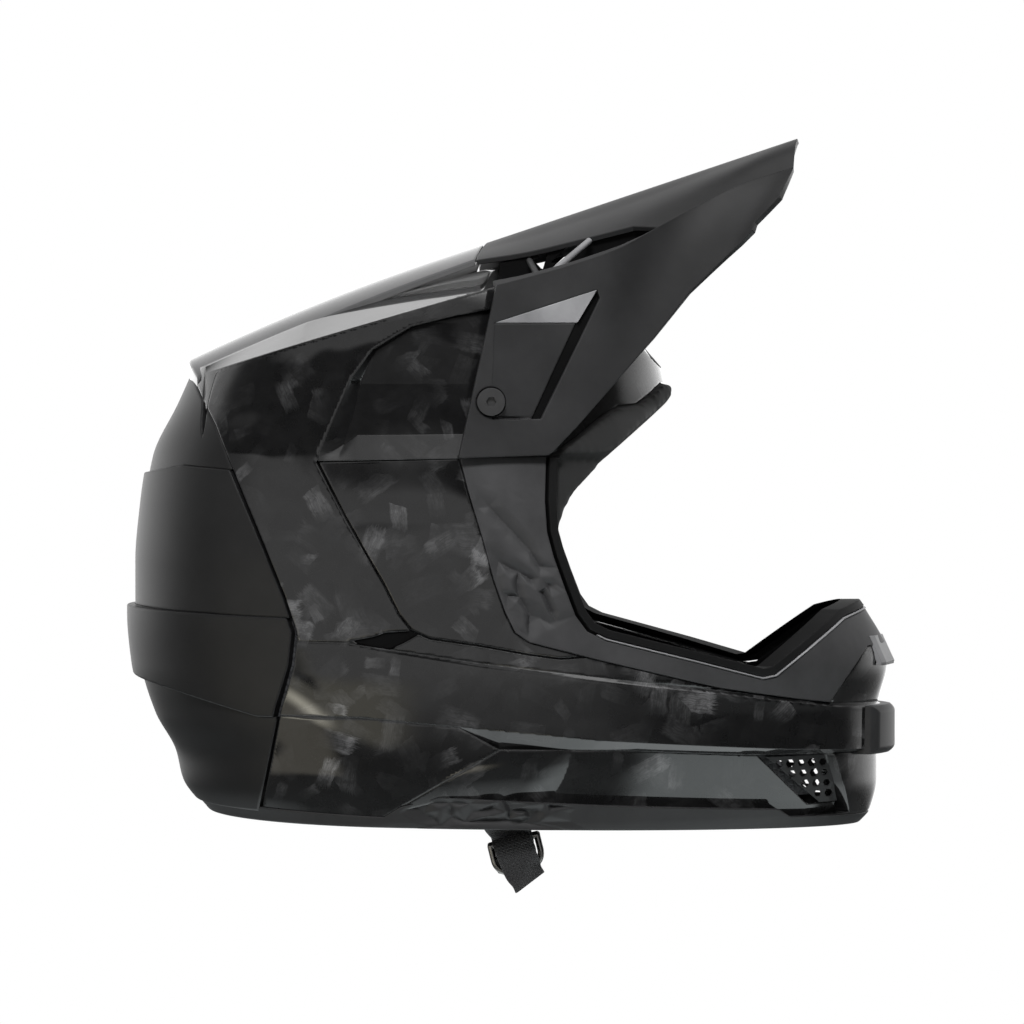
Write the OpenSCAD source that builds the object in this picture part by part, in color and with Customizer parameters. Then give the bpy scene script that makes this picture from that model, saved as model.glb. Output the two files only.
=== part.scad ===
// Full-face mountain bike helmet, in millimetres.
// +X is forward, +Y is the wearer's left, +Z is up.
// The origin is the centre of the head, between the ears.
// The shell is lofted: level rings give its side walls, and cross sections give its roof.

/* [Shell] */
// Reach of the shell behind the head centre
back_reach = 124; // [118:1:134]
// Reach of the brow in front of the head centre
brow_reach = 130; // [126:1:138]
// Reach of the chin bar in front of the head centre
chin_reach = 229; // [222:1:240]
// Half of the width of the shell at the ears
half_width = 112; // [108:1:118]
// Half of the width of the shell at its bottom rim
rim_half_width = 101; // [97:1:107]
// Depth of the bottom rim below the head centre
rim_drop = 120; // [116:1:126]
// Rise of the bottom rim from the chin back to the nape, per millimetre
rim_slope = 0.025; // [0:0.005:0.04]
// Thickness of the shell's wall
shell_wall = 3; // [2:0.25:4]
// Height of the crease between side wall and roof, above the head centre
crease_rise = 115; // [112:0.5:118]
// Climb of that crease towards the front, per millimetre
crease_slope = 0.29; // [0.25:0.01:0.32]

/* [Roof] */
// Height of the crown spine where it meets the visor
spine_rise = 151.5; // [148:0.5:156]
// Place of that front end
spine_front = 40; // [36:1:44]
// Climb of the spine from the tail forward, per millimetre
spine_slope = 0.36; // [0.34:0.01:0.38]
// Half of the width of the crown spine
spine_half_width = 46; // [42:1:50]
// Drop of the spine from its middle to its edge
spine_camber = 9; // [7:0.5:10]
// Height of the air gap under the spine's edge at the front
spine_gap = 7; // [5:0.5:8]

/* [Relief] */
// Depth of the recess behind the visor
recess_depth = 5; // [3:0.5:6]
// Height of the chin bar's ridge above the wall
ridge_rise = 3; // [1.5:0.5:4]
// Depth of the intake pocket below the ridge
pocket_depth = 4; // [2:0.5:5]
// How far the rear cover's upper louvre stands proud at the back
upper_louvre = 2.5; // [1.5:0.5:4]
// How far the rear cover's middle louvre stands proud at the back
middle_louvre = 6.5; // [5:0.5:8]
// How far the rear cover's lower skirt stands proud at the back
lower_louvre = 2; // [1:0.5:3]
// Gap between neighbouring panels
panel_gap = 0.4; // [0.3:0.1:0.8]
// Thickness of the bottom trim's wall
trim_wall = 4; // [3:0.5:6]
// Height of the bottom trim
trim_height = 12; // [8:1:14]

/* [Head] */
// Reach of the head cavity in front of and behind the head centre
head_reach = 99; // [96:1:102]
// Half of the width of the head cavity
head_half_width = 78; // [74:1:80]
// Height of the head cavity above the head centre
head_rise = 108; // [104:1:110]
// How far the crown of the head cavity lies ahead of its middle
head_lean = 12; // [8:1:14]
// Thickness of the comfort liner
pad_wall = 6; // [4:0.5:8]
// Thickness of the foam wall behind the cheek pads
cheek_back = 9; // [6:1:12]
// Thickness of the chin bar's foam
chin_foam = 20; // [14:1:24]
// Half of the width of the free space between the cheek pads
cheek_gap = 62; // [58:1:66]

/* [Visor] */
// Place of the visor's pivot in front of the head centre
pivot_x = 44.5; // [42:0.5:47]
// Height of the visor's pivot above the head centre
pivot_z = 75.5; // [73:0.5:78]
// Reach of the visor's tip in front of the head centre
visor_reach = 190.5; // [180:0.5:200]
// Height of the visor's tip above the head centre
visor_tip_rise = 202; // [194:0.5:208]
// Thickness of the visor's sheet
visor_wall = 2.2; // [1.8:0.1:3]
// Depth of the recess in the visor's arm
arm_recess = 2.4; // [1:0.1:2.6]
// Radius of the pivot screws' heads
screw_head_r = 6.4; // [5:0.1:7]
// Height of the pivot screws' heads
screw_head_h = 3; // [2:0.25:3.5]
// Radius of the pivot screws' shanks
screw_r = 3; // [2.5:0.25:3.5]
// Width across the flats of the hex socket
socket_flats = 4; // [3:0.5:5]
// Radius of the bush that turns on the screw
bush_r = 5.5; // [5:0.25:6]

/* [Strap] */
// Width of the webbing
web_w = 18; // [16:0.5:18.5]
// Thickness of the webbing
web_t = 1.6; // [1.2:0.1:2]
// Radius of the D-rings' wire
ring_wire = 1.5; // [1.2:0.1:1.8]
// Half of the width of a D-ring, to the middle of its wire
ring_half = 11.1; // [10.9:0.1:13]
// Height of a D-ring, between the middles of its wire
ring_drop = 14; // [13:0.25:15]
// Distance between the two D-rings
ring_pitch = 4.5; // [4:0.25:5]

/* [Hidden] */

// Clearance between nested layers
fit = 0.3;
// Points in each level ring
ring_n = 32;
// Levels of the rings, from the rim up
levels = [-132, -118, -104, -90, -72, -48, -24, 0, 25, 50, 75, 95, 112, 128, 142, 153];
// Power of the rings' curve at the back
back_power = 2.2;

back_table = [
  [-132, back_reach - 44], [-118, back_reach - 33], [-109, back_reach - 22.5],
  [-95, back_reach - 22], [-84, back_reach - 15], [-72, back_reach - 9],
  [-48, back_reach - 2], [-24, back_reach], [0, back_reach], [25, back_reach - 2],
  [50, back_reach - 6], [75, back_reach - 18], [88, back_reach - 25],
  [112, back_reach - 36], [153, back_reach - 70]
];
front_table = [
  [-132, chin_reach - 13], [-118, chin_reach - 3], [-104, chin_reach], [-90, chin_reach],
  [-72, chin_reach], [-48, chin_reach + 5], [-24, chin_reach - 6], [0, chin_reach - 26],
  [25, brow_reach + 48], [50, brow_reach + 20], [75, brow_reach], [95, brow_reach - 6],
  [112, brow_reach - 18], [128, brow_reach - 32], [142, brow_reach - 52], [153, brow_reach - 70]
];
half_table = [
  [-132, rim_half_width - 4], [-118, rim_half_width], [-90, half_width - 4],
  [-48, half_width - 1], [0, half_width], [25, half_width - 2], [50, half_width - 4.5],
  [75, half_width - 7], [112, half_width - 12], [128, half_width - 16], [153, half_width - 26]
];
power_table = [[-24, 1.75], [75, 2.2]];

function back_at(z) = lookup(z, back_table);
function front_at(z) = lookup(z, front_table);
function half_at(z) = lookup(z, half_table);
function power_at(z) = lookup(z, power_table);

// Half of the shell's width at a place seen from the side
function width_at(x, z) =
  let(reach = x > 0 ? front_at(z) : back_at(z), p = x > 0 ? power_at(z) : back_power)
  half_at(z) * pow(max(0, 1 - pow(abs(x) / reach, p)), 1 / p);

// One level ring of the shell, drawn in by inset and let out at the back by rise
function shell_ring(z, inset, rise) = [
  for (i = [0 : ring_n - 1])
    let(a = 360 * i / ring_n, c = cos(a), s = sin(a), ahead = c > 0)
    let(p = 2 / (ahead ? power_at(z) : back_power), reach = ahead ? front_at(z) : back_at(z) + rise)
    [(reach - inset) * sign(c) * pow(abs(c), p), (half_at(z) - inset) * sign(s) * pow(abs(s), p), z]
];

module loft(a, b) {
  points = concat(a, b);
  hull() polyhedron(points, [[for (i = [0 : len(points) - 1]) i]]);
}

module walls(inset, rise = 0) {
  for (i = [0 : len(levels) - 2])
    loft(shell_ring(levels[i], inset, rise), shell_ring(levels[i + 1], inset, rise));
}

// Heights of the roof: crease, spine, and the roof under the spine's edge and middle
dome_table = [[45, 140], [65, 141], [85, 133], [105, 118], [120, 98], [132, 84], [250, 50]];
function crease_at(x) = crease_rise + crease_slope * x;
function spine_at(x) =
  let(back = spine_front - x)
  spine_rise - (spine_slope - 0.03) * back - 0.0006 * pow(max(0, back - 20), 2);
function gap_at(x) = spine_gap * max(0, min(1, (x + 43) / 80));
function shoulder_at(x) = x < 45 ? spine_at(x) - spine_camber - gap_at(x) : lookup(x, dome_table) - 5;
function dome_at(x) = x < 45 ? shoulder_at(x) + 3.5 : lookup(x, dome_table);

function roof_section(x, inset) =
  let(yc = max(width_at(x, crease_at(x)), spine_half_width + 4), zc = crease_at(x), wide = 150)
  let(edge = x < 55 ? [[yc, min(zc, shoulder_at(x) - 0.5)], [yc + 25, zc - 35]] : [])
  let(last = x < 55 ? zc - 230 : shoulder_at(x) - 50)
  let(top = [[0, dome_at(x)], [spine_half_width, shoulder_at(x)]], low = [[wide, last], [wide, -300]])
  let(half = concat(top, edge, low))
  concat([for (p = half) [x, p[0], p[1] - inset]], [for (p = half) [x, -p[0], p[1] - inset]]);

roof_stations = [-160, -100, -72, -43, -10, 20, 45, 65, 85, 105, 120, 132, 260];
module roof(inset) {
  for (i = [0 : len(roof_stations) - 2])
    loft(roof_section(roof_stations[i], inset), roof_section(roof_stations[i + 1], inset));
}

module body(inset, rise = 0) {
  intersection() {
    walls(inset, rise);
    roof(inset);
  }
}

// A side-view outline, extruded right through the helmet
module through(outline, grow = 0) {
  rotate([90, 0, 0])
    linear_extrude(300, center = true) offset(delta = grow) polygon(outline);
}

module both_sides() {
  children();
  mirror([0, 1, 0]) children();
}

// Side-view outlines. Ahead of the cheeks they stretch with the reach of the chin bar
stretch_from = 90;
drawn_reach = 229;
function stretched(outline) = [
  for (p = outline)
    p[0] < stretch_from || p[1] > 0 ? p
    : [stretch_from + (p[0] - stretch_from) * (chin_reach - stretch_from) / (drawn_reach - stretch_from), p[1]]
];
eyeport = stretched([
  [70.5, 50.5], [70, 30], [71, 16], [74, 5], [79, -9], [84, -22], [89, -29], [97, -33],
  [141, -44.5], [170, -52.5], [176, -51.5], [182, -47], [210, -26], [222, -22], [270, -18],
  [270, 88], [124, 85], [119, 80], [112, 75], [103, 74], [95, 69], [83, 59]
]);
rear_edge = [
  [-98, 89], [-84, 65], [-60, 10], [-50, -14], [-44.5, -30], [-46, -45], [-52, -65],
  [-57, -89], [-62, -112], [-64, -150], [-200, -150], [-200, 89]
];
frame_edge = stretched([
  [30, 50.5], [34, 35], [39.5, 17], [46, -6], [51, -20.5], [55.5, -30], [62, -34.5],
  [94, -43], [150, -57], [203, -66], [211, -54.5], [222, -40], [270, -36], [270, 50.5]
]);
recess_edge = [[-34, 49], [-34, 52], [-20, 85], [-10, 99], [8, 110], [60, 118], [60, 49]];
ridge_edge = stretched([
  [-43, -34], [-22, -34.5], [8, -39], [40, -44], [94, -51], [150, -58], [203, -66], [260, -70],
  [260, -91], [180, -87], [94, -80.5], [30, -73], [-15, -68.5], [-43, -68]
]);
pocket_edge = stretched([
  [54, -83], [113, -85], [172, -89], [205, -89.5], [214, -115], [199, -115], [179, -111],
  [95, -108], [21, -103], [40, -90]
]);
grille_edge = stretched([[172, -90], [205, -90.2], [213.5, -113.5], [199, -113.7]]);

// Top line of the bottom trim: heights above the lowest level at the head centre
trim_line = [
  [-300, 10.5], [-61.5, 8.2], [-4.5, 5.1], [3, 9.8], [21, 14.3], [94.5, 9.5], [178.5, 5.1],
  [184.5, 1], [217, -0.3], [300, -0.6]
];
drawn_trim = 12;
trim_top = stretched([for (p = trim_line) [p[0], p[1] - rim_drop + trim_height - drawn_trim]]);
module trim_zone(grow) {
  through(concat(trim_top, [[300, -300], [-300, -300]]), grow);
}

function rim_at(x) = -rim_drop - rim_slope * x;
module below(lift) {
  low = 200;
  far = 300;
  through([[-far, rim_at(-far) + lift], [far, rim_at(far) + lift], [far, -low], [-far, -low]]);
}

// The shell's solid with the recess behind the visor, at any inset
module recessed(inset, grow = 0) {
  difference() {
    body(inset);
    difference() {
      through(recess_edge, grow);
      translate([-200, -60, -200]) cube([400, 120, 400]);
      body(inset + recess_depth);
    }
    difference() {
      through(pocket_edge, grow);
      body(inset + pocket_depth);
    }
  }
}

module hollow() {
  recessed(shell_wall, shell_wall);
}

module post_holes(r) {
  both_sides() translate([pivot_x, 80, pivot_z]) rotate([-90, 0, 0]) cylinder(h = 60, r = r, $fn = 32);
}

module outer_shell() {
  color("#2a2c2e") difference() {
    union() {
      recessed(0);
      intersection() {
        body(-ridge_rise);
        through(ridge_edge);
      }
    }
    hollow();
    trim_zone(panel_gap);
    through(eyeport);
    through(rear_edge, panel_gap);
    through(frame_edge, panel_gap);
    through(grille_edge);
    post_holes(post_r + fit);
    translate([chin_reach - 12, -nose_half - fit, -91.8]) cube([40, 2 * nose_half + 2 * fit, 23.6]);
  }
}

// Rear cover: louvres that lap over one another, each proud of the one above or below
louvres = [
  [0, 120, 46, 53], [upper_louvre, 46, -18, -20], [middle_louvre, -18, -50, -66],
  [lower_louvre, -50, -200, -200]
];
module louvre(i) {
  l = louvres[i];
  overlap = 0.2;
  front_top = louvres[i - 1][3];
  intersection() {
    body(-0.15, l[0]);
    through([
      [-200, l[1]], [-120, l[1]], [0, front_top], [0, l[3] - overlap], [-120, l[2] - overlap],
      [-200, l[2] - overlap]
    ]);
  }
}
module rear_cover() {
  color("#1d1e20") difference() {
    intersection() {
      union() {
        body(0);
        for (i = [1 : len(louvres) - 1]) louvre(i);
      }
      through(rear_edge);
    }
    body(shell_wall);
    trim_zone(panel_gap);
  }
}

// Crown spine: a cambered strip on the roof, its edges lifted clear towards the front
tail_x = -101;
spine_bow = 7;
function spine_strip(x) =
  let(bow = spine_bow * (1 - 1.5 * (x - tail_x) / (spine_front - tail_x)))
  [
    for (s = [-1, -0.6, 0, 0.6, 1])
      [x + bow * s * s, s * spine_half_width, spine_at(x) - spine_camber * s * s]
  ];
spine_depth = 14;
spine_edge_wall = 2.5;
function spine_section(x) =
  let(top = spine_strip(x), deep = [0, 0, spine_depth], thin = [0, 0, spine_edge_wall])
  concat(top, [top[0] - thin, top[1] - deep, top[2] - deep, top[3] - deep, top[4] - thin]);
module crown_spine() {
  count = 8;
  xs = [for (i = [0 : count]) tail_x + (spine_front - tail_x) * i / count];
  color("#3a3c3f") difference() {
    for (i = [0 : count - 1])
      loft(spine_section(xs[i]), spine_section(xs[i + 1]));
    roof(-fit);
  }
}

// Eyeport frame: the matte panel beside the eyes that runs on along the top of the chin bar
module eyeport_frame() {
  color("#333538") difference() {
    intersection() {
      body(-0.8);
      through(frame_edge);
    }
    body(shell_wall);
    through(eyeport, panel_gap * 2 + fit);
    through(ridge_edge, panel_gap);
  }
}

// Rubber edging that caps the lower edge of the eyeport
module eyeport_seal() {
  color("#101112") difference() {
    intersection() {
      body(-1.4);
      through(eyeport, panel_gap * 2);
      translate([72, -150, -70]) cube([200, 300, 100]);
    }
    through(eyeport);
    body(1);
  }
}

// Brow trim: a padded edge that comes out from behind the shell round the upper eyeport,
// and over the forehead stands proud of it as a lip
brow_edge = [
  [70, 50.5], [145, 50.5], [145, 87], [124, 84.4], [119, 79.4], [112, 74.4], [103, 73.4],
  [95, 68.4], [83, 58.4], [72, 50.5]
];
face_edge = [
  [131, 81], [128, 76], [99, 51], [83, 34], [77.5, 23.5], [75.5, 14.5], [77, 5], [80.5, -8.5],
  [85, -21.5], [89, -25.5], [92, -60], [300, -60], [300, 81]
];
brow_depth = 9;
brow_tuck = 5;
module brow_trim() {
  color("#141517") difference() {
    union() {
      intersection() {
        body(-3.5);
        through(brow_edge, -fit);
      }
      intersection() {
        body(liner_inset);
        through(eyeport, brow_tuck - fit);
        translate([40, -150, -24]) cube([110, 300, 115]);
      }
    }
    body(brow_depth);
    through(face_edge);
  }
}

// Base trim: a band that closes the bottom rim
module base_trim() {
  color("#26282a") difference() {
    intersection() {
      body(-0.6);
      trim_zone(0);
    }
    body(trim_wall);
    below(0);
  }
}

// Nose of the chin bar, with its air slots
nose_half = 26;
module chin_nose() {
  color("#202224") difference() {
    intersection() {
      body(-9);
      translate([chin_reach - 3 + fit, -nose_half, -91.5]) cube([30, 2 * nose_half, 23]);
    }
    body(shell_wall);
    for (z = [-87.5, -80, -72.5], s = [-1, 1])
      hull()
        for (y = [5, 13])
          translate([chin_reach - 20, s * y, z]) rotate([0, 90, 0]) cylinder(h = 50, r = 1.6, $fn = 12);
  }
}

// Lip across the top of the chin bar's front
lip_half = 21;
module chin_lip() {
  color("#77797c") difference() {
    intersection() {
      body(-3.4);
      translate([chin_reach - 40, -lip_half, -49.5]) cube([60, 2 * lip_half, 14]);
    }
    body(-0.8 - fit);
  }
}

// Perforated grille in the front of each intake pocket
grille_pitch = 5.4;
module chin_grille() {
  difference() {
    intersection() {
      body(pocket_depth);
      through(grille_edge, -fit);
      translate([0, -200, -200]) cube([400, 200, 400]);
    }
    body(pocket_depth + 2);
    for (row = [0 : 3], column = [0 : 4 - row])
      translate([chin_reach - 50 + column * grille_pitch + row * 6.4, -100, -94 - row * 5])
        rotate([90, 0, 0])
          cylinder(h = 160, r = 1.9 + 0.3 * sin(140 * column + 200 * row), center = true, $fn = 6);
  }
}
module chin_grille_right() {
  color("#17181a") chin_grille();
}
module chin_grille_left() {
  color("#17181a") mirror([0, 1, 0]) chin_grille();
}

// Head cavity, let out by grow
head_levels = [-1.16, -0.7, -0.25, 0.1, 0.4, 0.65, 0.82, 0.94, 1];
head_shrink = [0.76, 0.92, 0.99, 1, 0.96, 0.83, 0.66, 0.42, 0.14];
head_n = 24;
head_power = 0.9;
function head_ring(i, grow) =
  let(z = head_levels[i] * head_rise, k = head_shrink[i], up = max(0, z) / head_rise)
  [
    for (j = [0 : head_n - 1])
      let(a = 360 * j / head_n, c = cos(a), s = sin(a))
      [
        (head_reach * k + grow) * sign(c) * pow(abs(c), head_power) + head_lean * up * up,
        (head_half_width * k + grow) * sign(s) * pow(abs(s), head_power),
        z + grow * sin(90 * up)
      ]
  ];
module head(grow) {
  for (i = [0 : len(head_levels) - 2])
    loft(head_ring(i, grow), head_ring(i + 1, grow));
}

cheek_edge = [
  [8, -18], [60, -22], [80, -34], [87, -54], [86, -90], [70, -102], [20, -102], [2, -84], [0, -40]
];
module cheek_room(grow) {
  intersection() {
    body(shell_wall + fit + cheek_back - grow);
    through(cheek_edge, grow);
  }
}

// Foam crown liner, from the brow to the nape
liner_inset = shell_wall + fit;
// Where the crown liner ends and the chin liner begins
liner_split = 88;
// Air channels cut into its inside, each from the front to the back
channel_r = 8;
channel_starts = [[-70, 18, 90], [-28, 32, 96], [14, 46, 102]];
channel_ends = [[-96, 22, 60], [-84, 40, 64], [-72, 58, 68]];
// Height of the seam between the crown's foam and the two side pieces below it
liner_seam = 46;
// The foam ends this far above the bottom rim, clear of the trim
liner_lift = trim_height + 3 + fit;
module foam() {
  difference() {
    recessed(liner_inset, liner_inset);
    head(pad_wall + fit);
    cheek_room(fit);
    through(eyeport, brow_tuck);
    through([[liner_split, 12], [300, 12], [300, -200], [liner_split, -200]]);
    translate([40, -cheek_gap, -200]) cube([100, 2 * cheek_gap, 212]);
    below(liner_lift);
    anchor_room();
    post_room();
    both_sides() snap_room();
    for (i = [0 : len(channel_starts) - 1])
      both_sides() hull() {
        translate(channel_starts[i]) rotate(30) sphere(r = channel_r, $fn = 6);
        translate(channel_ends[i]) rotate(30) sphere(r = channel_r, $fn = 6);
      }
  }
}
module crown_liner() {
  color("#3b3d40") intersection() {
    foam();
    translate([-200, -200, liner_seam + fit]) cube(400);
  }
}
module side_liner_right() {
  color("#3b3d40") intersection() {
    foam();
    translate([-200, -400 - fit / 2, liner_seam - 400]) cube(400);
  }
}
module side_liner_left() {
  color("#3b3d40") intersection() {
    foam();
    translate([-200, fit / 2, liner_seam - 400]) cube(400);
  }
}

// Foam liner of the chin bar
module chin_liner() {
  color("#3b3d40") difference() {
    recessed(liner_inset, liner_inset);
    walls(liner_inset + chin_foam);
    through(eyeport, 4);
    through([[-300, 300], [liner_split + fit, 300], [liner_split + fit, -300], [-300, -300]]);
    below(liner_lift);
    through([[60, -14], [300, -14], [300, 300], [60, 300]]);
    through(grille_edge, -1);
  }
}

// Comfort liner: quilted pads on a band round the head, open between them
module comfort_liner() {
  color("#1b1c1e") difference() {
    head(pad_wall);
    head(0);
    translate([-200, -200, -330]) cube([400, 400, 350]);
    through([[60, 20], [140, 20], [140, 58], [72, 58]]);
    for (s = [-1, 1], x = [-52, 4])
      translate([x, s * 34, 60]) cylinder(h = 80, r1 = 17, r2 = 13, $fn = 20);
    for (s = [-1, 1])
      translate([-18, s * head_half_width, 56]) rotate([90, 0, 0]) cylinder(h = 50, r = 14, center = true, $fn = 20);
    translate([-86, 0, 66]) rotate([0, 90, 0]) cylinder(h = 50, r = 13, center = true, $fn = 20);
  }
}

// Neck roll under the nape
module neck_roll() {
  color("#1b1c1e") difference() {
    intersection() {
      head(pad_wall);
      translate([-200, -200, -100]) cube([185, 400, 52]);
    }
    head(-5);
    difference() {
      translate([-200, -200, -64]) cube([400, 400, 40]);
      head(2);
    }
  }
}

// Cheek pads, crowned towards the face
cheek_crown = 6;
module cheek_slab(y, deep, shrink) {
  translate([0, -y, 0]) rotate([90, 0, 0]) linear_extrude(deep) offset(delta = -shrink) polygon(cheek_edge);
}
module cheek_pad() {
  intersection() {
    cheek_room(0);
    hull() {
      cheek_slab(cheek_gap + cheek_crown, 60, 0.5);
      cheek_slab(cheek_gap, 1, 14);
    }
  }
}
module cheek_pad_right() {
  color("#1b1c1e") difference() {
    cheek_pad();
    snap_room();
    anchor_room();
  }
}
module cheek_pad_left() {
  color("#1b1c1e") mirror([0, 1, 0]) difference() {
    cheek_pad();
    snap_room();
    anchor_room();
  }
}

// Press studs that hold the cheek pads to the foam
snap_places = [[30, -40], [66, -44], [20, -80]];
snap_r = 4;
snap_h = 4.5;
snap_set = 1.5;
module snaps(grow) {
  for (p = snap_places) {
    y = width_at(p[0], p[1]) - liner_inset - cheek_back + snap_set + grow;
    translate([p[0], -y, p[1]]) rotate([-90, 0, 0])
      cylinder(h = snap_h + 2 * grow, r = snap_r + grow, $fn = grow > 0 ? 12 : 24);
  }
}
module snap_room() {
  snaps(fit);
}
module cheek_snaps() {
  color("#8a8d90") both_sides() snaps(0);
}

// Strap anchors: steel plates bonded inside the shell
anchor_x = 48;
anchor_z = -96;
anchor_y = width_at(anchor_x + 14, anchor_z - 8) - liner_inset - pocket_depth - 2.2;
module anchor_room() {
  both_sides() translate([anchor_x - 14, anchor_y - 5, -130]) cube([28, 30, 48]);
}
module strap_anchors() {
  color("#9a9da0") both_sides() {
    translate([anchor_x - 12, anchor_y, anchor_z - 8]) cube([24, 1.5, 16]);
    for (s = [-1, 1])
      translate([anchor_x + 6 * s, anchor_y - web_t - 1.6, anchor_z]) rotate([-90, 0, 0])
        cylinder(h = web_t + 1.6, r = 2, $fn = 24);
  }
}

// Pivot: a threaded post in the shell, a bush in the visor's arm and a screw
pivot_y = width_at(pivot_x, pivot_z);
post_r = 5;
post_flange_r = 9;
post_flange_h = 2.5;
post_top = pivot_y + 1.2;
post_sink = 4;
post_base = pivot_y - recess_depth - shell_wall - post_flange_h - post_sink;
bush_top = post_top + 4;
module at_pivot(y) {
  both_sides() translate([pivot_x, y, pivot_z]) rotate([-90, 0, 0]) children();
}
module post_room() {
  at_pivot(post_base - fit) cylinder(h = 40, r = post_flange_r + 1, $fn = 32);
}
module visor_posts() {
  color("#8a8d90") difference() {
    union() {
      at_pivot(post_base) cylinder(h = post_top - post_base, r = post_r, $fn = 48);
      at_pivot(post_base) cylinder(h = post_flange_h, r = post_flange_r, $fn = 48);
    }
    at_pivot(post_base - 1) cylinder(h = 30, r = screw_r + 0.1, $fn = 48);
  }
}
module visor_bushes() {
  color("#1a1a1a") difference() {
    at_pivot(post_top + 0.1) cylinder(h = bush_top - post_top - 0.1, r = bush_r, $fn = 48);
    at_pivot(post_top - 1) cylinder(h = 10, r = screw_r + 0.2, $fn = 48);
  }
}
module visor_screws() {
  color("#2b2b2d") difference() {
    union() {
      at_pivot(post_top - 9) cylinder(h = bush_top - post_top + 9.1, r = screw_r, $fn = 48);
      at_pivot(bush_top + 0.1) cylinder(h = screw_head_h, r = screw_head_r, $fn = 48);
    }
    at_pivot(bush_top + screw_head_h - 1.8) cylinder(h = 5, r = socket_flats / 2 / cos(30), $fn = 6);
  }
}

// Visor: one sheet, ridged along its shoulders, with arms that come down to the pivots
visor_slope = (visor_tip_rise - spine_rise) / (visor_reach - spine_front);
function climb(x) = visor_tip_rise + (x - visor_reach) * visor_slope;
function plate_y(x, z) = half_width + 0.2 - 0.232 * (x - 30) - 0.145 * (z - 50);
// Ahead of the arms the visor's points stretch with its reach, and above them with its tip
arms_x = 60;
arms_z = 130;
drawn_tip = [190.5, 202];
function out_x(x) =
  x < arms_x ? x : arms_x + (x - arms_x) * (visor_reach - arms_x) / (drawn_tip[0] - arms_x);
function up_z(z) =
  z < arms_z ? z : arms_z + (z - arms_z) * (visor_tip_rise - arms_z) / (drawn_tip[1] - arms_z);
visor_sections = [
  [spine_front + 1.6, [47, 129], [30, 51]], [60, [62, 133], [50, 51]], [85, [81, 138.5], [71, 51.5]],
  [110, [102, 146], [91, 72]], [135, [122, 157], [112, 96.5]], [160, [143, 168.5], [136, 126]],
  [180, [162, 178], [158, 148]], [190.5, [187, 186.5], [178, 171]]
];
ridge_pull = [0, 0, 0, 0, 6, 12, 18, 26];
function visor_row(i) =
  let(s = visor_sections[i], x = out_x(s[0]))
  let(r = [out_x(s[1][0]), up_z(s[1][1])], l = [out_x(s[2][0]), up_z(s[2][1])])
  let(ry = plate_y(r[0], r[1]) - ridge_pull[i], ly = plate_y(l[0], l[1]), mid = (r + l) / 2)
  let(top = [x, 0, climb(x)], ridge = [r[0], ry, r[1]], low = [l[0], ly, l[1]])
  let(bow_a = i == 0 ? 4.6 : 0, bow_b = i == 0 ? 7.4 : 0)
  let(a = top + (ridge - top) * 0.34 + [-bow_a, 0, 3], b = top + (ridge - top) * 0.67 + [-bow_b, 0, 3.5])
  [top, a, b, ridge, [mid[0], (ry + ly) / 2 + 0.6, mid[1]], low];
function full_row(i) =
  let(r = visor_row(i), n = len(r))
  concat([for (j = [n - 1 : -1 : 1]) [r[j][0], -r[j][1], r[j][2]]], r);
visor_grid = [for (i = [0 : len(visor_sections) - 1]) full_row(i)];
function grid_normal(g, i, j) =
  let(n = len(g) - 1, m = len(g[0]) - 1)
  let(u = g[min(i + 1, n)][j] - g[max(i - 1, 0)][j], v = g[i][min(j + 1, m)] - g[i][max(j - 1, 0)])
  let(c = cross(u, v)) c / norm(c);
function quad(a, b, c, d) = [[a, b, c], [a, c, d]];
module sheet(g, lift, wall) {
  n = len(g);
  m = len(g[0]);
  outer = [for (i = [0 : n - 1], j = [0 : m - 1]) g[i][j] + grid_normal(g, i, j) * lift];
  inner = [for (i = [0 : n - 1], j = [0 : m - 1]) g[i][j] + grid_normal(g, i, j) * (lift - wall)];
  p = function (i, j) i * m + j;
  q = function (i, j) n * m + i * m + j;
  faces = concat(
    [for (i = [0 : n - 2], j = [0 : m - 2], f = quad(p(i, j), p(i, j + 1), p(i + 1, j + 1), p(i + 1, j))) f],
    [for (i = [0 : n - 2], j = [0 : m - 2], f = quad(q(i, j), q(i + 1, j), q(i + 1, j + 1), q(i, j + 1))) f],
    [for (i = [0 : n - 2], f = quad(p(i, 0), p(i + 1, 0), q(i + 1, 0), q(i, 0))) f],
    [for (i = [0 : n - 2], f = quad(p(i + 1, m - 1), p(i, m - 1), q(i, m - 1), q(i + 1, m - 1))) f],
    [for (j = [0 : m - 2], f = quad(p(0, j + 1), p(0, j), q(0, j), q(0, j + 1))) f],
    [for (j = [0 : m - 2], f = quad(p(n - 1, j), p(n - 1, j + 1), q(n - 1, j + 1), q(n - 1, j))) f]
  );
  polyhedron(concat(outer, inner), faces);
}

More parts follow.
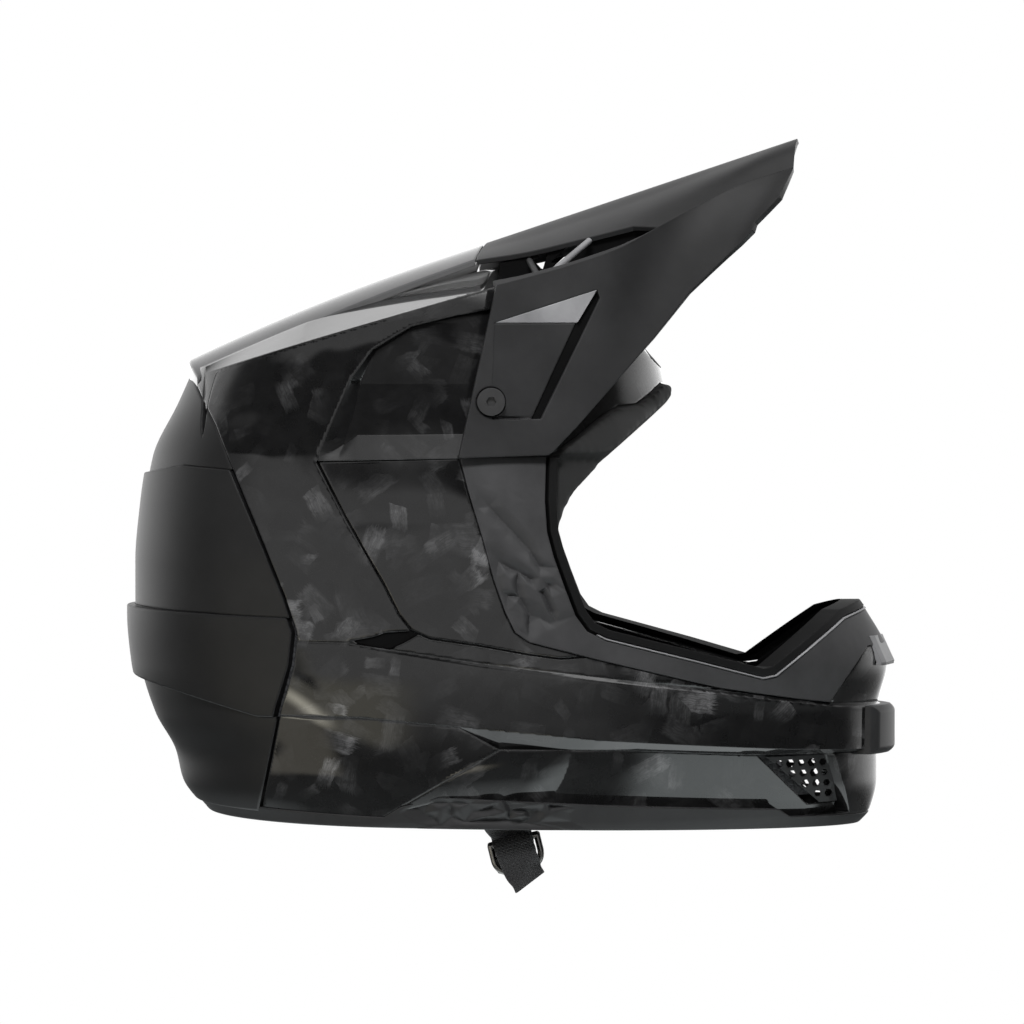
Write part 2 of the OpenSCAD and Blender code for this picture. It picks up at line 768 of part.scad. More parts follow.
arm_edge = [[46, 112], [93, 127], [84, 113], [65.5, 68], [38, 68]];
slot_edge = [
  [30, half_width - 54], [110, half_width - 50], [122, half_width - 42], [104, half_width - 34],
  [75, half_width - 27], [58, half_width - 23], [30, half_width - 20]
];
strut_w = 2.6;
strut_root = half_width - 50;
module strut(a, b) {
  hull()
    for (end = [a, b])
      translate(end) cube(strut_w, center = true);
}
module visor() {
  color("#3c3e41") difference() {
    union() {
      difference() {
        sheet(visor_grid, 0, visor_wall);
        through(arm_edge);
        both_sides() translate([0, 0, 100]) linear_extrude(100) polygon(slot_edge);
      }
      intersection() {
        sheet(visor_grid, -arm_recess, visor_wall);
        through(arm_edge, 1);
      }
      both_sides() {
        for (x = [[66, 62], [72, 90]])
          strut([x[1], strut_root, climb(x[1]) - 17.5], [x[0], plate_y(x[0], 138) - 3, 132 + 0.3 * (x[0] - 62)]);
        strut([60, 0, climb(60) - 3], [visor_reach - 20, 0, climb(visor_reach - 20) - 3]);
        intersection() {
          translate([pivot_x, post_top + 0.3, pivot_z]) rotate([-90, 0, 0])
            cylinder(h = 3.4, r = 10, $fn = 40);
          translate([pivot_x - 20, 0, pivot_z - 20]) cube([40, 300, 40]);
        }
      }
    }
    post_clear();
  }
}
module post_clear() {
  at_pivot(post_top - 30) cylinder(h = 60, r = bush_r + 0.1, $fn = 40);
  at_pivot(post_top + 3.7) cylinder(h = 30, r = screw_head_r + 1, $fn = 40);
}

// Webbing: a flat ribbon through a list of [middle, direction of its width]
module ribbon(path, width, wall) {
  n = len(path);
  unit = function (v) v / norm(v);
  along = function (i) unit(path[min(i + 1, n - 1)][0] - path[max(i - 1, 0)][0]);
  side = function (i) unit(path[i][1] - along(i) * (path[i][1] * along(i)));
  corners = [
    for (i = [0 : n - 1])
      let(w = side(i) * width / 2, t = unit(cross(along(i), side(i))) * wall / 2)
      for (c = [w + t, w - t, -w - t, -w + t]) path[i][0] + c
  ];
  p = function (i, j) 4 * i + j % 4;
  faces = concat(
    quad(p(0, 3), p(0, 2), p(0, 1), p(0, 0)),
    [for (i = [0 : n - 2], j = [0 : 3], f = quad(p(i, j), p(i, j + 1), p(i + 1, j + 1), p(i + 1, j))) f],
    quad(p(n - 1, 0), p(n - 1, 1), p(n - 1, 2), p(n - 1, 3))
  );
  polyhedron(corners, faces);
}

// Middle of the inner D-ring's bar, and how far the bars lean
ring_x = 54.7;
ring_y = -66;
ring_z = -128.5;
ring_tilt = 14;
across = [1, 0, 0];
lean = [cos(ring_tilt), 0, sin(ring_tilt)];
steep = [0.85, 0, 0.5];
turned = [0.8, 0.5, 0.3];
web_y = anchor_y - web_t / 2 - 0.1;
left_path = [
  [[anchor_x, web_y, anchor_z + 7], across], [[anchor_x, web_y, -110], across],
  [[49, web_y - 4, -121], across], [[51, 70, -134], across], [[54, 42, -144], across],
  [[55, 12, -148], across], [[56, -20, -148], across], [[56.5, -44, -143], lean],
  [[56.4, -57, -137.5], lean], [[56.3, -63, -135], lean], [[56.3, -73, -134.6], lean],
  [[56.1, -76.5, -133], lean], [[54.4, -78.4, -129], lean], [[53.4, -80.4, -126.2], lean],
  [[54, -82.6, -128], lean], [[55.4, -83, -132], lean], [[58, -82.6, -138.5], lean],
  [[60.5, -81, -143.5], turned], [[62.3, -80, -147], turned]
];
right_path = [
  [[anchor_x, -web_y, anchor_z + 7], across], [[anchor_x, -web_y, -108], across],
  [[48.5, 3 - web_y, -116], steep], [[51, -79.5, -121.5], lean], [[53.6, -74.4, -124.8], lean],
  [[54.3, -72.4, -126.3], lean]
];
module strap_left() {
  color("#151617") ribbon(left_path, web_w, web_t);
}
module strap_right() {
  loop_r = ring_wire + 0.4;
  color("#151617") {
    ribbon(right_path, web_w, web_t);
    at_ring(0) translate([-web_w / 2, 0, 0]) rotate([90, 0, 90]) linear_extrude(web_w) difference() {
      loop_outline(loop_r + web_t);
      loop_outline(loop_r);
    }
  }
}
module at_ring(step) {
  translate([ring_x, ring_y - step * ring_pitch, ring_z]) rotate([0, -ring_tilt, 0]) children();
}
module loop_outline(r) {
  circle(r, $fn = 24);
  translate([-ring_pitch, 0]) circle(r, $fn = 24);
  translate([-ring_pitch, -r]) square([ring_pitch, 2 * r]);
}

module d_ring() {
  r = 7;
  for (s = [-1, 1]) {
    translate([s * ring_half, 0, 0]) sphere(r = ring_wire, $fn = 24);
    translate([s * ring_half, 0, r - ring_drop]) cylinder(h = ring_drop - r, r = ring_wire, $fn = 24);
    translate([s * (ring_half - r), 0, r - ring_drop]) rotate([90, 0, 0]) rotate(s > 0 ? 270 : 180)
      rotate_extrude(angle = 90, $fn = 48) translate([r, 0]) circle(ring_wire, $fn = 24);
  }
  translate([-ring_half, 0, 0]) rotate([0, 90, 0]) cylinder(h = 2 * ring_half, r = ring_wire, $fn = 24);
  translate([r - ring_half, 0, -ring_drop]) rotate([0, 90, 0])
    cylinder(h = 2 * (ring_half - r), r = ring_wire, $fn = 24);
}
module d_ring_inner() {
  color("#6d6f72") at_ring(0) d_ring();
}
module d_ring_outer() {
  color("#6d6f72") at_ring(1) d_ring();
}

outer_shell();
rear_cover();
crown_spine();
eyeport_frame();
eyeport_seal();
brow_trim();
base_trim();
chin_nose();
chin_lip();
chin_grille_left();
chin_grille_right();
visor();
visor_bushes();
visor_screws();
visor_posts();
crown_liner();
side_liner_left();
side_liner_right();
chin_liner();
comfort_liner();
neck_roll();
cheek_pad_left();
cheek_pad_right();
cheek_snaps();
strap_anchors();
strap_left();
strap_right();
d_ring_outer();
d_ring_inner();
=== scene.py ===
import math

import bmesh
import bpy
import numpy as np
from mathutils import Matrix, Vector
from mathutils.geometry import delaunay_2d_cdt


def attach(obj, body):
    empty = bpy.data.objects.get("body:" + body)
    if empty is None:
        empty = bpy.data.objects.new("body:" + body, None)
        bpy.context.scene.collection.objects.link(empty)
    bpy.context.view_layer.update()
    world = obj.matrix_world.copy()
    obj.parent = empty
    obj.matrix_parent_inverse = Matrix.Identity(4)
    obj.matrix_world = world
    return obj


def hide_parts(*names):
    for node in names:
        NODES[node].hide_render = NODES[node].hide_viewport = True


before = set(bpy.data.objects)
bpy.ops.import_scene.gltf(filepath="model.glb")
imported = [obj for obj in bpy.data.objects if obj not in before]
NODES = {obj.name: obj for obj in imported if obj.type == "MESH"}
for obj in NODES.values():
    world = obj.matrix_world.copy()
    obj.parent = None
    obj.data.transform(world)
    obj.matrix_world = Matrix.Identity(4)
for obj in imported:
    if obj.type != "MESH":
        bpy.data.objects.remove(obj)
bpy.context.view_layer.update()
BODY = "helmet"

# All shapes below are in millimetres until a mesh is made.
MM = 0.001
# The camera: its distance, what a pixel of the photo covers at the helmet's middle, and the point it looks level at
CAMERA_FAR, PIXEL, CAMERA_X, CAMERA_Z = 2200, 0.48, 59.04, 67.2


# Numbers of the shell
def smooth_table(pairs):
    """A curve through the pairs that doesn't overshoot between them."""
    xs, ys = (np.array(v, float) for v in zip(*pairs))
    h, d = np.diff(xs), np.diff(ys) / np.diff(xs)
    m = np.zeros(len(xs))
    inner = d[:-1] * d[1:] > 0
    w1, w2 = 2 * h[1:] + h[:-1], h[1:] + 2 * h[:-1]
    safe = np.where(inner, d[:-1], 1), np.where(inner, d[1:], 1)
    m[1:-1] = np.where(inner, (w1 + w2) / (w1 / safe[0] + w2 / safe[1]), 0)

    def at(v):
        v = np.clip(v, xs[0], xs[-1])
        i = np.clip(np.searchsorted(xs, v) - 1, 0, len(xs) - 2)
        t = (v - xs[i]) / h[i]
        return (
            ys[i] * (1 + 2 * t) * (1 - t) ** 2
            + ys[i + 1] * t * t * (3 - 2 * t)
            + m[i] * h[i] * t * (1 - t) ** 2
            - m[i + 1] * h[i] * t * t * (1 - t)
        )

    return at


def line(*points):
    """Height of a polyline over x."""
    xs, zs = zip(*points)
    return lambda x: np.interp(x, xs, zs)


BACK = smooth_table([
    (-132, 80), (-118, 91), (-104, 101.7), (-90, 105.2), (-72, 115), (-48, 122), (-24, 124), (0, 124),
    (25, 122), (50, 118), (75, 106), (95, 96.8), (112, 88), (128, 74.7), (142, 63.1), (153, 54),
])
FRONT = smooth_table([
    (-132, 216), (-118, 226), (-104, 229), (-90, 229), (-72, 229), (-48, 234), (-24, 223), (0, 203),
    (25, 178), (50, 150), (75, 130), (95, 124), (112, 112), (128, 98), (142, 78), (153, 60),
])
HALF = smooth_table([
    (-132, 97), (-118, 101), (-90, 108), (-48, 111), (0, 112), (25, 110), (50, 107.5), (75, 105),
    (112, 100), (128, 96), (153, 86),
])
POWER = line((-24, 1.75), (75, 2.2))
BACK_POWER = 2.2
WALL = 3.0
RIM = line((-300, -112.5), (300, -127.5))


def width_at(x, z):
    reach = np.where(x > 0, FRONT(z), BACK(z))
    p = np.where(x > 0, POWER(z), BACK_POWER)
    return HALF(z) * np.maximum(0, 1 - (np.abs(x) / reach) ** p) ** (1 / p)


def wall(P, inset=0.0, rise=0.0):
    """Points of the shell's wall from (angle, height)."""
    a, z = P[:, 0], P[:, 1]
    c, s = np.cos(a), np.maximum(np.sin(a), 0)
    e = 2 / np.where(c > 0, POWER(z), BACK_POWER)
    reach = np.where(c > 0, FRONT(z), BACK(z) + rise)
    return np.c_[(reach - inset) * np.sign(c) * np.abs(c) ** e, (HALF(z) - inset) * s**e, z]


def spine_z(x):
    return 151.5 - 0.33 * (40 - x) - 0.0006 * np.maximum(0, 20 - x) ** 2


DOME = line((45, 140), (65, 141), (85, 133), (105, 118), (120, 98), (132, 84), (250, 50))


def ease(t):
    t = np.clip(t, 0, 1)
    return t * t * (3 - 2 * t)


def roof_z(x, y):
    y = np.abs(y)
    gap = 7 * np.clip((x + 43) / 80, 0, 1)
    front = ease((x - 46) / 12)
    crease = 115 + 0.29 * x
    yc = np.maximum(width_at(x, crease), 50)
    sh = spine_z(x) - 9 - gap
    dm = sh + 3.5
    e = np.minimum(crease, sh - 0.5)
    rear = np.where(
        y < 46, dm + (sh - dm) * (y / 46) ** 2,
        np.where(y < yc, sh + (e - sh) * (y - 46) / (yc - 46), e + (crease - 35 - e) * (y - yc) / 25),
    )
    dm2 = DOME(x)
    brow = np.where(y < 46, dm2 - 5 * (y / 46) ** 2, dm2 - 5 - 50 * (y - 46) / 104)
    return rear * (1 - front) + brow * front


def seen(px, py, half):
    """Where the line of sight of a point on the picture meets the plane that far out on the right side."""
    k = PIXEL * (1 - half / CAMERA_FAR)
    return CAMERA_X + (px - 523) * k, CAMERA_Z + (420 - py) * k


# Sheets cut by outlines
def outline(points):
    """Signed distance to a closed outline in x and z, negative inside."""
    A = np.array(points, float)
    B = np.roll(A, -1, 0)

    def at(x, z):
        d = np.full(x.shape, 1e9)
        inside = np.zeros(x.shape, bool)
        for (ax, az), (bx, bz) in zip(A, B):
            ex, ez = bx - ax, bz - az
            t = np.clip(((x - ax) * ex + (z - az) * ez) / (ex * ex + ez * ez), 0, 1)
            d = np.minimum(d, np.hypot(x - ax - t * ex, z - az - t * ez))
            crossing = (az > z) != (bz > z)
            inside ^= crossing & (x < ax + (z - az) * ex / (ez if ez else 1e-12))
        return np.where(inside, -d, d)

    return at


def grid(u0, u1, v0, v1, nu, nv):
    us, vs = np.linspace(u0, u1, nu), np.linspace(v0, v1, nv)
    U, V = np.meshgrid(us, vs, indexing="ij")
    i, j = np.meshgrid(np.arange(nu - 1), np.arange(nv - 1), indexing="ij")
    a = (i * nv + j).ravel()
    return np.c_[U.ravel(), V.ravel()], np.r_[np.c_[a, a + nv, a + nv + 1], np.c_[a, a + nv + 1, a + 1]]


def clip(P, T, f):
    """The part of a flat mesh where f is at most zero."""
    v = f(P)
    v = np.where(np.abs(v) < 1e-3, 0, v)
    inside = v <= 0
    k = inside[T].sum(1)
    out = [T[k == 3]]
    extra = []
    count = len(P)
    for want in (1, 2):
        S = T[k == want]
        if not len(S):
            continue
        odd = np.argmax(inside[S] if want == 1 else ~inside[S], axis=1)
        S = np.take_along_axis(S, (odd[:, None] + np.arange(3)) % 3, axis=1)
        ids = []
        for other in (1, 2):
            e = np.sort(np.c_[S[:, 0], S[:, other]], axis=1)
            w, back = np.unique(e, axis=0, return_inverse=True)
            t = v[w[:, 0]] / (v[w[:, 0]] - v[w[:, 1]])
            extra.append(P[w[:, 0]] * (1 - t[:, None]) + P[w[:, 1]] * t[:, None])
            ids.append(count + back.ravel())
            count += len(w)
        if want == 1:
            out.append(np.c_[S[:, 0], ids[0], ids[1]])
        else:
            out += [np.c_[ids[0], S[:, 1], S[:, 2]], np.c_[ids[0], S[:, 2], ids[1]]]
    return np.concatenate([P, *extra]), np.concatenate(out)


def split(P, T, f):
    """The same mesh with edges along the line where f is zero."""
    Pa, Ta = clip(P, T, f)
    Pb, Tb = clip(P, T, lambda p: -f(p))
    return np.r_[Pa, Pb], np.r_[Ta, Tb + len(Pa)]


def weld(V, F):
    key, first, back = np.unique(np.round(V, 3), axis=0, return_index=True, return_inverse=True)
    F = back.ravel()[F]
    good = (F[:, 0] != F[:, 1]) & (F[:, 1] != F[:, 2]) & (F[:, 0] != F[:, 2])
    return first, F[good]


def panel(P, T, field, place, depth=WALL, bevel=0.55, sink=0.22, creases=(), back=False):
    """A panel cut from a sheet: its edges are rounded over and turned in by depth."""
    for f in creases:
        P, T = split(P, T, f)
    core = clip(P, T, lambda p: field(p) + bevel)
    rim = clip(P, T, lambda p: -(field(p) + bevel))
    rim = clip(*rim, field)
    P = np.r_[core[0], rim[0]]
    T = np.r_[core[1], rim[1] + len(core[0])]
    keep, T = weld(np.c_[P[:, 0] * 100, P[:, 1]], T)
    P = P[keep]
    F = field(P)
    low = sink * np.clip(1 + F / bevel, 0, 1) ** 2
    top = place(P, low)
    e = np.r_[T[:, [0, 1]], T[:, [1, 2]], T[:, [2, 0]]]
    key = np.sort(e, axis=1)
    _, where, count = np.unique(key, axis=0, return_index=True, return_counts=True)
    e = e[where[count == 1]]
    e = e[~((np.abs(top[e[:, 0], 1]) < 1e-3) & (np.abs(top[e[:, 1], 1]) < 1e-3))]
    n = len(P)
    mid, low_ring = place(P, low + 0.35), place(P, low + depth)
    V = np.r_[top, mid, low_ring]
    faces = [T]
    for a, b in ((0, n), (n, 2 * n)):
        faces += [np.c_[e[:, 1] + a, e[:, 0] + a, e[:, 0] + b], np.c_[e[:, 1] + a, e[:, 0] + b, e[:, 1] + b]]
    if back:
        faces.append(T[:, ::-1] + 2 * n)
    return V, np.concatenate(faces)


def add_object(name, data):
    o = bpy.data.objects.new(name, data)
    bpy.context.scene.collection.objects.link(o)
    return o


def mesh_object(name, parts, sharp=40):
    """One smooth-shaded object, in metres, of the given parts and their mirror images."""
    V, F, n = [], [], 0
    for v, f in parts:
        for s in (1, -1):
            V.append(v * [1, s, 1])
            F.append((f if s == 1 else f[:, ::-1]) + n)
            n += len(v)
    V, F = np.concatenate(V) * MM, np.concatenate(F)
    used, back = np.unique(F, return_inverse=True)
    V, F = V[used], back.reshape(F.shape)
    me = bpy.data.meshes.new(name)
    me.from_pydata(V.tolist(), [], F.tolist())
    bm = bmesh.new()
    bm.from_mesh(me)
    bmesh.ops.remove_doubles(bm, verts=bm.verts, dist=2e-6)
    bmesh.ops.dissolve_degenerate(bm, dist=1e-6, edges=bm.edges)
    bm.to_mesh(me)
    bm.free()
    me.shade_smooth()
    me.set_sharp_from_angle(angle=math.radians(sharp))
    return add_object(name, me)


def side(f):
    """A field over (angle, height) from one over x and z."""
    return lambda p: f(wall(p)[:, 0], p[:, 1])


# Outlines, in millimetres
EYEPORT = outline([
    (70.5, 50.5), (70, 30), (71, 16), (74, 5), (79, -9), (84, -22), (89, -29), (97, -33), (141, -44.5),
    (170, -52.5), (176, -51.5), (182, -47), (210, -26), (222, -22), (270, -18), (270, 88), (124, 85),
    (119, 80), (112, 75), (103, 74), (95, 69), (83, 59),
])
REAR = outline([
    (-98, 89), (-84, 65), (-60, 10), (-50, -14), (-44.5, -30), (-46, -45), (-52, -65), (-57, -89),
    (-62, -112), (-64, -150), (-200, -150), (-200, 89),
])
FRAME = outline([
    (30, 50.5), (34, 35), (39.5, 17), (46, -6), (51, -20.5), (55.5, -30), (62, -34.5), (94, -43),
    (150, -57), (203, -66), (211, -54.5), (222, -40), (270, -36), (270, 50.5),
])
MID_PANEL = outline([
    (-34.7, 48), (-22.2, 23.9), (-3.8, -8), (3, -21.6), (8.5, -28.5), (16.7, -32.2), (39.4, -35.5),
    (62.2, -39.8), (76, -41.8), (90, -41), (44, 49.8), (30, 49.4),
])
RECESS = outline([
    (-34.7, 48.4), (-34.7, 52), (-20.1, 85.5), (-10.1, 99.2), (8, 110), (27.9, 115), (60, 121), (60, 50.2),
])
RIDGE_TOP = line((-46, -34), (-22, -34.5), (8, -39), (40, -44), (94, -51), (150, -58), (203, -66), (260, -70))
RIDGE_LOW = line((-46, -68), (-15, -68.5), (30, -73), (67, -77), (94, -80.2), (141, -83.7), (180, -86.6), (260, -91))
STRIP_LOW = line((-46, -68.3), (-15, -68.8), (30, -73.4), (48.5, -83.7), (113, -85.6), (172, -89.2), (260, -91.8))
POCKET = outline([
    (48.5, -83.7), (113, -85.6), (172, -89.2), (206, -90), (214.5, -119), (199, -119.2),
    (184, -123), (178, -118.8), (94.5, -114.5), (21, -109.7), (2.8, -116), (-8.9, -117.5), (21, -99.6),
    (39.4, -89.1),
])
NOTCH = outline([seen(*p, 111) for p in [
    (347.6, 642), (375, 636.5), (385.6, 632.6), (411.4, 631.2), (418.2, 635.3), (403.3, 643.4), (388.3, 650.2),
]])
GRILLE = outline([(172, -89.8), (205, -90.2), (213.5, -113.5), (199, -113.7)])
TRIM_TOP = line(
    (-120, -109.8), (-61.4, -111.8), (-4.6, -114.9), (2.8, -110.2), (21.1, -105.7), (94.5, -110.5),
    (178.4, -114.9), (184.3, -119), (217, -120.3), (240, -120.6),
)
SEAM = 0.35


def below(top):
    return lambda x, z: z - top(x)


def above(low):
    return lambda x, z: low(x) - z


def below_roof(p):
    w = wall(p)
    return w[:, 2] - roof_z(w[:, 0], w[:, 1])


def away_from(f, gap=SEAM):
    return lambda x, z: gap - f(x, z)


def every(*fields):
    return lambda x, z: np.maximum.reduce([f(x, z) for f in fields])


ridge_field = every(below(RIDGE_TOP), above(STRIP_LOW), lambda x, z: -60 - x)
above_trim = above(lambda x: TRIM_TOP(x) - 2)


def relief_ridge(x, z):
    """How far the chin bar's ridge stands out, and its chamfers."""
    height = np.interp(x, [-46, 60, 110, 160], [0.2, 0.5, 1.5, 3.2])
    soft = np.interp(x, [-46, 40, 94, 230], [2.6, 2.4, 2.2, 1.6])
    up = ease((RIDGE_TOP(x) - z) / soft)
    span = np.maximum(RIDGE_LOW(x) - STRIP_LOW(x), 0.4)
    down = np.clip((RIDGE_LOW(x) - z) / span, 0, 1)
    fall = np.interp(x, [30, 50, 230], [0.4, 4.4, 4.0])
    return -height * up + fall * down


def relief_recess(x, z):
    """The floor falls away from the ledge below and from a chamfer that narrows upward on the left."""
    floor = np.interp(x, [-34.7, -29.2, -17.7, 30, 60], [50, 52.6, 60.3, 60.8, 61])
    ledge = np.interp(x, [-34.7, 30, 60], [47.8, 49.4, 50])
    left = np.interp(z, [52, 85.5, 99.2, 110], [-34.7, -20.1, -10.1, 8])
    wide = np.interp(z, [52, 72, 96], [9, 7, 1.5])
    deep = np.interp(z, [60, 84, 112], [5.2, 5.2, 2.9])
    return deep * np.clip((z - ledge) / np.maximum(floor - ledge, 1), 0, 1) * np.clip((x - left) / wide, 0, 1)


V_FOLD = outline([(30.3, -73.4), (48.5, -83.7), (39.4, -89.1), (21, -99.6), (-4.6, -114.9), (-60, -114), (-60, -73)])


def relief_pocket(x, z):
    start = np.maximum(V_FOLD(x, z), 0)
    deep = np.interp(z, [-112, -86], [6.5, 3.0])
    return deep * np.clip(start / 34, 0, 1)


def facets(picked, half, deep=3.0):
    """Pillows between sharp creases, through points seen on the picture: 0 in a crease, 1 on a pillow's back."""
    points = [(*seen(px, py, half), h) for px, py, h in picked]
    flat = [Vector(p[:2]) for p in points]
    verts, _, tris, *_ = delaunay_2d_cdt(flat, [], [], 0, 1e-5)
    known = np.array([p[:2] for p in points])
    heights = [points[int(np.argmin(np.hypot(*(known - np.array(v[:])).T)))][2] for v in verts]

    def at(x, z):
        out = np.ones(x.shape)
        for tri in tris:
            (ax, az), (bx, bz), (cx, cz) = (verts[i][:] for i in tri)
            area = (bx - ax) * (cz - az) - (cx - ax) * (bz - az)
            if abs(area) < 1e-9:
                continue
            u = ((bx - x) * (cz - z) - (cx - x) * (bz - z)) / area
            v = ((cx - x) * (az - z) - (ax - x) * (cz - z)) / area
            w = 1 - u - v
            hit = (u >= -1e-6) & (v >= -1e-6) & (w >= -1e-6)
            out = np.where(hit, u * heights[tri[0]] + v * heights[tri[1]] + w * heights[tri[2]], out)
        return -deep * (1 - np.clip(out, 0, 1)) ** 1.7

    return at


# Creases of the matte panel beside the eyes, which is smooth above them
FRAME_RELIEF = facets([
    (440, 440, 1), (560, 440, 1), (455, 468, 1), (470, 480, 1), (475, 484, 0.9), (480, 495, 0.5), (490, 507, 0.15),
    (500, 518, 0), (512, 530, 0), (530, 550, 0), (541, 567, 0), (551, 587, 0), (556, 585, 0.5), (491, 552, 0.3),
    (500, 562, 0), (510, 568, 0), (520, 572, 0), (532, 580, 0), (543, 592, 0), (547, 600, 0), (552, 612, 0),
    (557, 622, 0.4), (518, 584, 0), (520, 597, 0), (503, 590, 0.4), (509, 596, 0), (525, 606, 0), (531, 615, 0),
    (530, 625, 0), (529, 636, 0.4), (540, 618, 0.1), (550, 624, 0.3), (556, 628, 0.7), (485, 515, 0.7),
    (489, 528, 1), (500, 543, 1), (515, 556, 1), (529, 566, 1), (540, 578, 0.95), (546, 588, 0.6), (504, 573, 0.8),
    (510, 580, 1), (512, 589, 0.8), (526, 584, 0.8), (536, 592, 1), (543, 604, 1), (548, 614, 0.8), (528, 598, 0.7),
    (515, 604, 1), (522, 613, 1), (524, 624, 0.9), (514, 622, 0.6), (536, 640, 1), (545, 632, 1), (516, 518, 0.8),
    (527, 530, 0.9), (537, 543, 1), (546, 560, 1), (555, 577, 1), (562, 594, 1), (571, 612, 0.9), (552, 598, 0.8),
    (560, 612, 0.9), (549, 520, 1), (549, 545, 0.8), (558, 568, 0.75), (568, 592, 0.7), (577, 616, 0.7),
    (486, 540, 0.7), (488, 552, 0.4), (497, 577, 0.2), (502, 592, 0.25), (508, 610, 0.4), (478, 508, 0.5),
    (482, 524, 0.5), (506, 484, 0.93), (509, 492, 0.8), (505, 506, 0.9), (499, 492, 1), (516, 490, 1),
    (526, 476, 0.93), (524, 500, 0.8), (530, 514, 0.9), (536, 494, 1), (518, 630, 0.6), (600, 630, 1),
    (700, 680, 1), (565, 645, 1), (530, 655, 1), (500, 640, 1), (470, 560, 1), (640, 470, 1), (900, 500, 1),
    (900, 700, 1), (450, 600, 1), (560, 500, 1),
], 106)
# Creases low on the bottom trim
TRIM_RELIEF = facets([
    (300, 790, 1), (300, 840, 1), (378, 822, 1), (398, 814, 0.9), (414, 806, 0), (430, 803.5, 0.2), (450, 803.5, 0.1),
    (470, 804, 0.2), (424, 814, 0), (434, 820, 0), (452, 818, 0), (472, 814, 0), (440, 810, 1), (458, 809, 1),
    (478, 812.5, 0), (492, 809.5, 0), (508, 804.5, 0), (490, 804, 1), (500, 802, 1), (482, 818, 0.6), (487, 822, 0),
    (502, 822, 0), (505, 813, 0.9), (494, 816, 1), (512, 811.5, 0), (528, 812.5, 0), (540, 812.5, 0), (552, 808, 0),
    (530, 806, 1), (545, 804, 1), (509, 822, 0), (524, 824, 0), (532, 819, 0), (520, 817, 1), (548, 816, 1),
    (560, 812, 0.9), (570, 815, 0.6), (578, 809, 1), (540, 824, 0.3), (572, 824, 0.5), (418, 824, 0.6), (440, 827, 0.4),
    (465, 823, 0.3), (456, 827, 0.9), (600, 800, 1), (600, 840, 1), (900, 800, 1), (900, 840, 1), (200, 780, 1),
    (200, 840, 1), (430, 790, 1), (500, 790, 1),
], 101, 2.6)


# Materials
class Nodes:
    """Short names for making the shader nodes of a material or a world."""

    def __init__(self, owner):
        self.owner = owner
        owner.use_nodes = True
        self.nt = owner.node_tree
        self.nt.nodes.clear()
        self.coord = self.new("TexCoord").outputs["Object"]

    def new(self, kind, **inputs):
        n = self.nt.nodes.new("ShaderNode" + kind)
        for k, v in inputs.items():
            self.set(n.inputs[k.replace("_", " ")], v)
        return n

    def set(self, socket, v):
        if isinstance(v, bpy.types.NodeSocket):
            self.nt.links.new(v, socket)
        else:
            socket.default_value = v

    def math(self, op, a, b=0.0, c=0.0):
        n = self.new("Math")
        n.operation = op
        for s, v in zip(n.inputs, (a, b, c)):
            self.set(s, v)
        return n.outputs[0]

    def times(self, *values):
        out = values[0]
        for v in values[1:]:
            out = self.math("MULTIPLY", out, v)
        return out

    def xyz(self, vector):
        return self.new("SeparateXYZ", Vector=vector).outputs

    def scaled(self, a, factor, added):
        return self.math("MULTIPLY_ADD", a, factor, added)

    def vec(self, op, a, b=(0, 0, 0), scale=None):
        n = self.new("VectorMath")
        n.operation = op
        self.set(n.inputs[0], a)
        if op == "SCALE":
            self.set(n.inputs["Scale"], scale)
        else:
            self.set(n.inputs[1], b)
        return n.outputs["Vector"]

    def noise(self, vector, scale, detail=3.0, rough=0.5):
        return self.new("TexNoise", Vector=vector, Scale=scale, Detail=detail, Roughness=rough).outputs["Fac"]

    def ramp(self, fac, stops):
        """A colour ramp; a stop's colour may be one number, for a grey."""
        n = self.new("ValToRGB")
        stops = [(p, c if isinstance(c, tuple) else (c,) * 3) for p, c in stops]
        e = n.color_ramp.elements
        while len(e) > 1:
            e.remove(e[-1])
        e[0].position, e[0].color = stops[0][0], (*stops[0][1], 1)
        for p, c in stops[1:]:
            e.new(p).color = (*c, 1)
        self.set(n.inputs["Fac"], fac)
        return n.outputs["Color"]

    def smooth(self, v, low, high):
        """0 at low, 1 at high, eased between them; low may be the larger."""
        n = self.new("MapRange", Value=v, From_Min=low, From_Max=high)
        n.interpolation_type = "SMOOTHSTEP"
        return n.outputs["Result"]

    def pick(self, which, a, b):
        """a where which is 0, b where it is 1."""
        return self.math("ADD", a, self.math("MULTIPLY", which, self.math("SUBTRACT", b, a)))

    def mix(self, fac, a, b):
        n = self.new("Mix")
        n.data_type = "RGBA"
        for s, v in zip((n.inputs[0], n.inputs[6], n.inputs[7]), (fac, a, b)):
            self.set(s, v)
        return n.outputs[2]

    def bump(self, height, distance, strength, **normal):
        return self.new("Bump", Height=height, Distance=distance, Strength=strength, **normal).outputs["Normal"]

    def edge(self, radius):
        n = self.new("Bevel", Radius=radius)
        n.samples = 4
        return n.outputs["Normal"]

    def show(self, shader="BsdfPrincipled", output="OutputMaterial", **inputs):
        self.new(output, Surface=self.new(shader, **inputs).outputs[0])
        return self.owner


def material(name):
    return Nodes(bpy.data.materials.new(name))


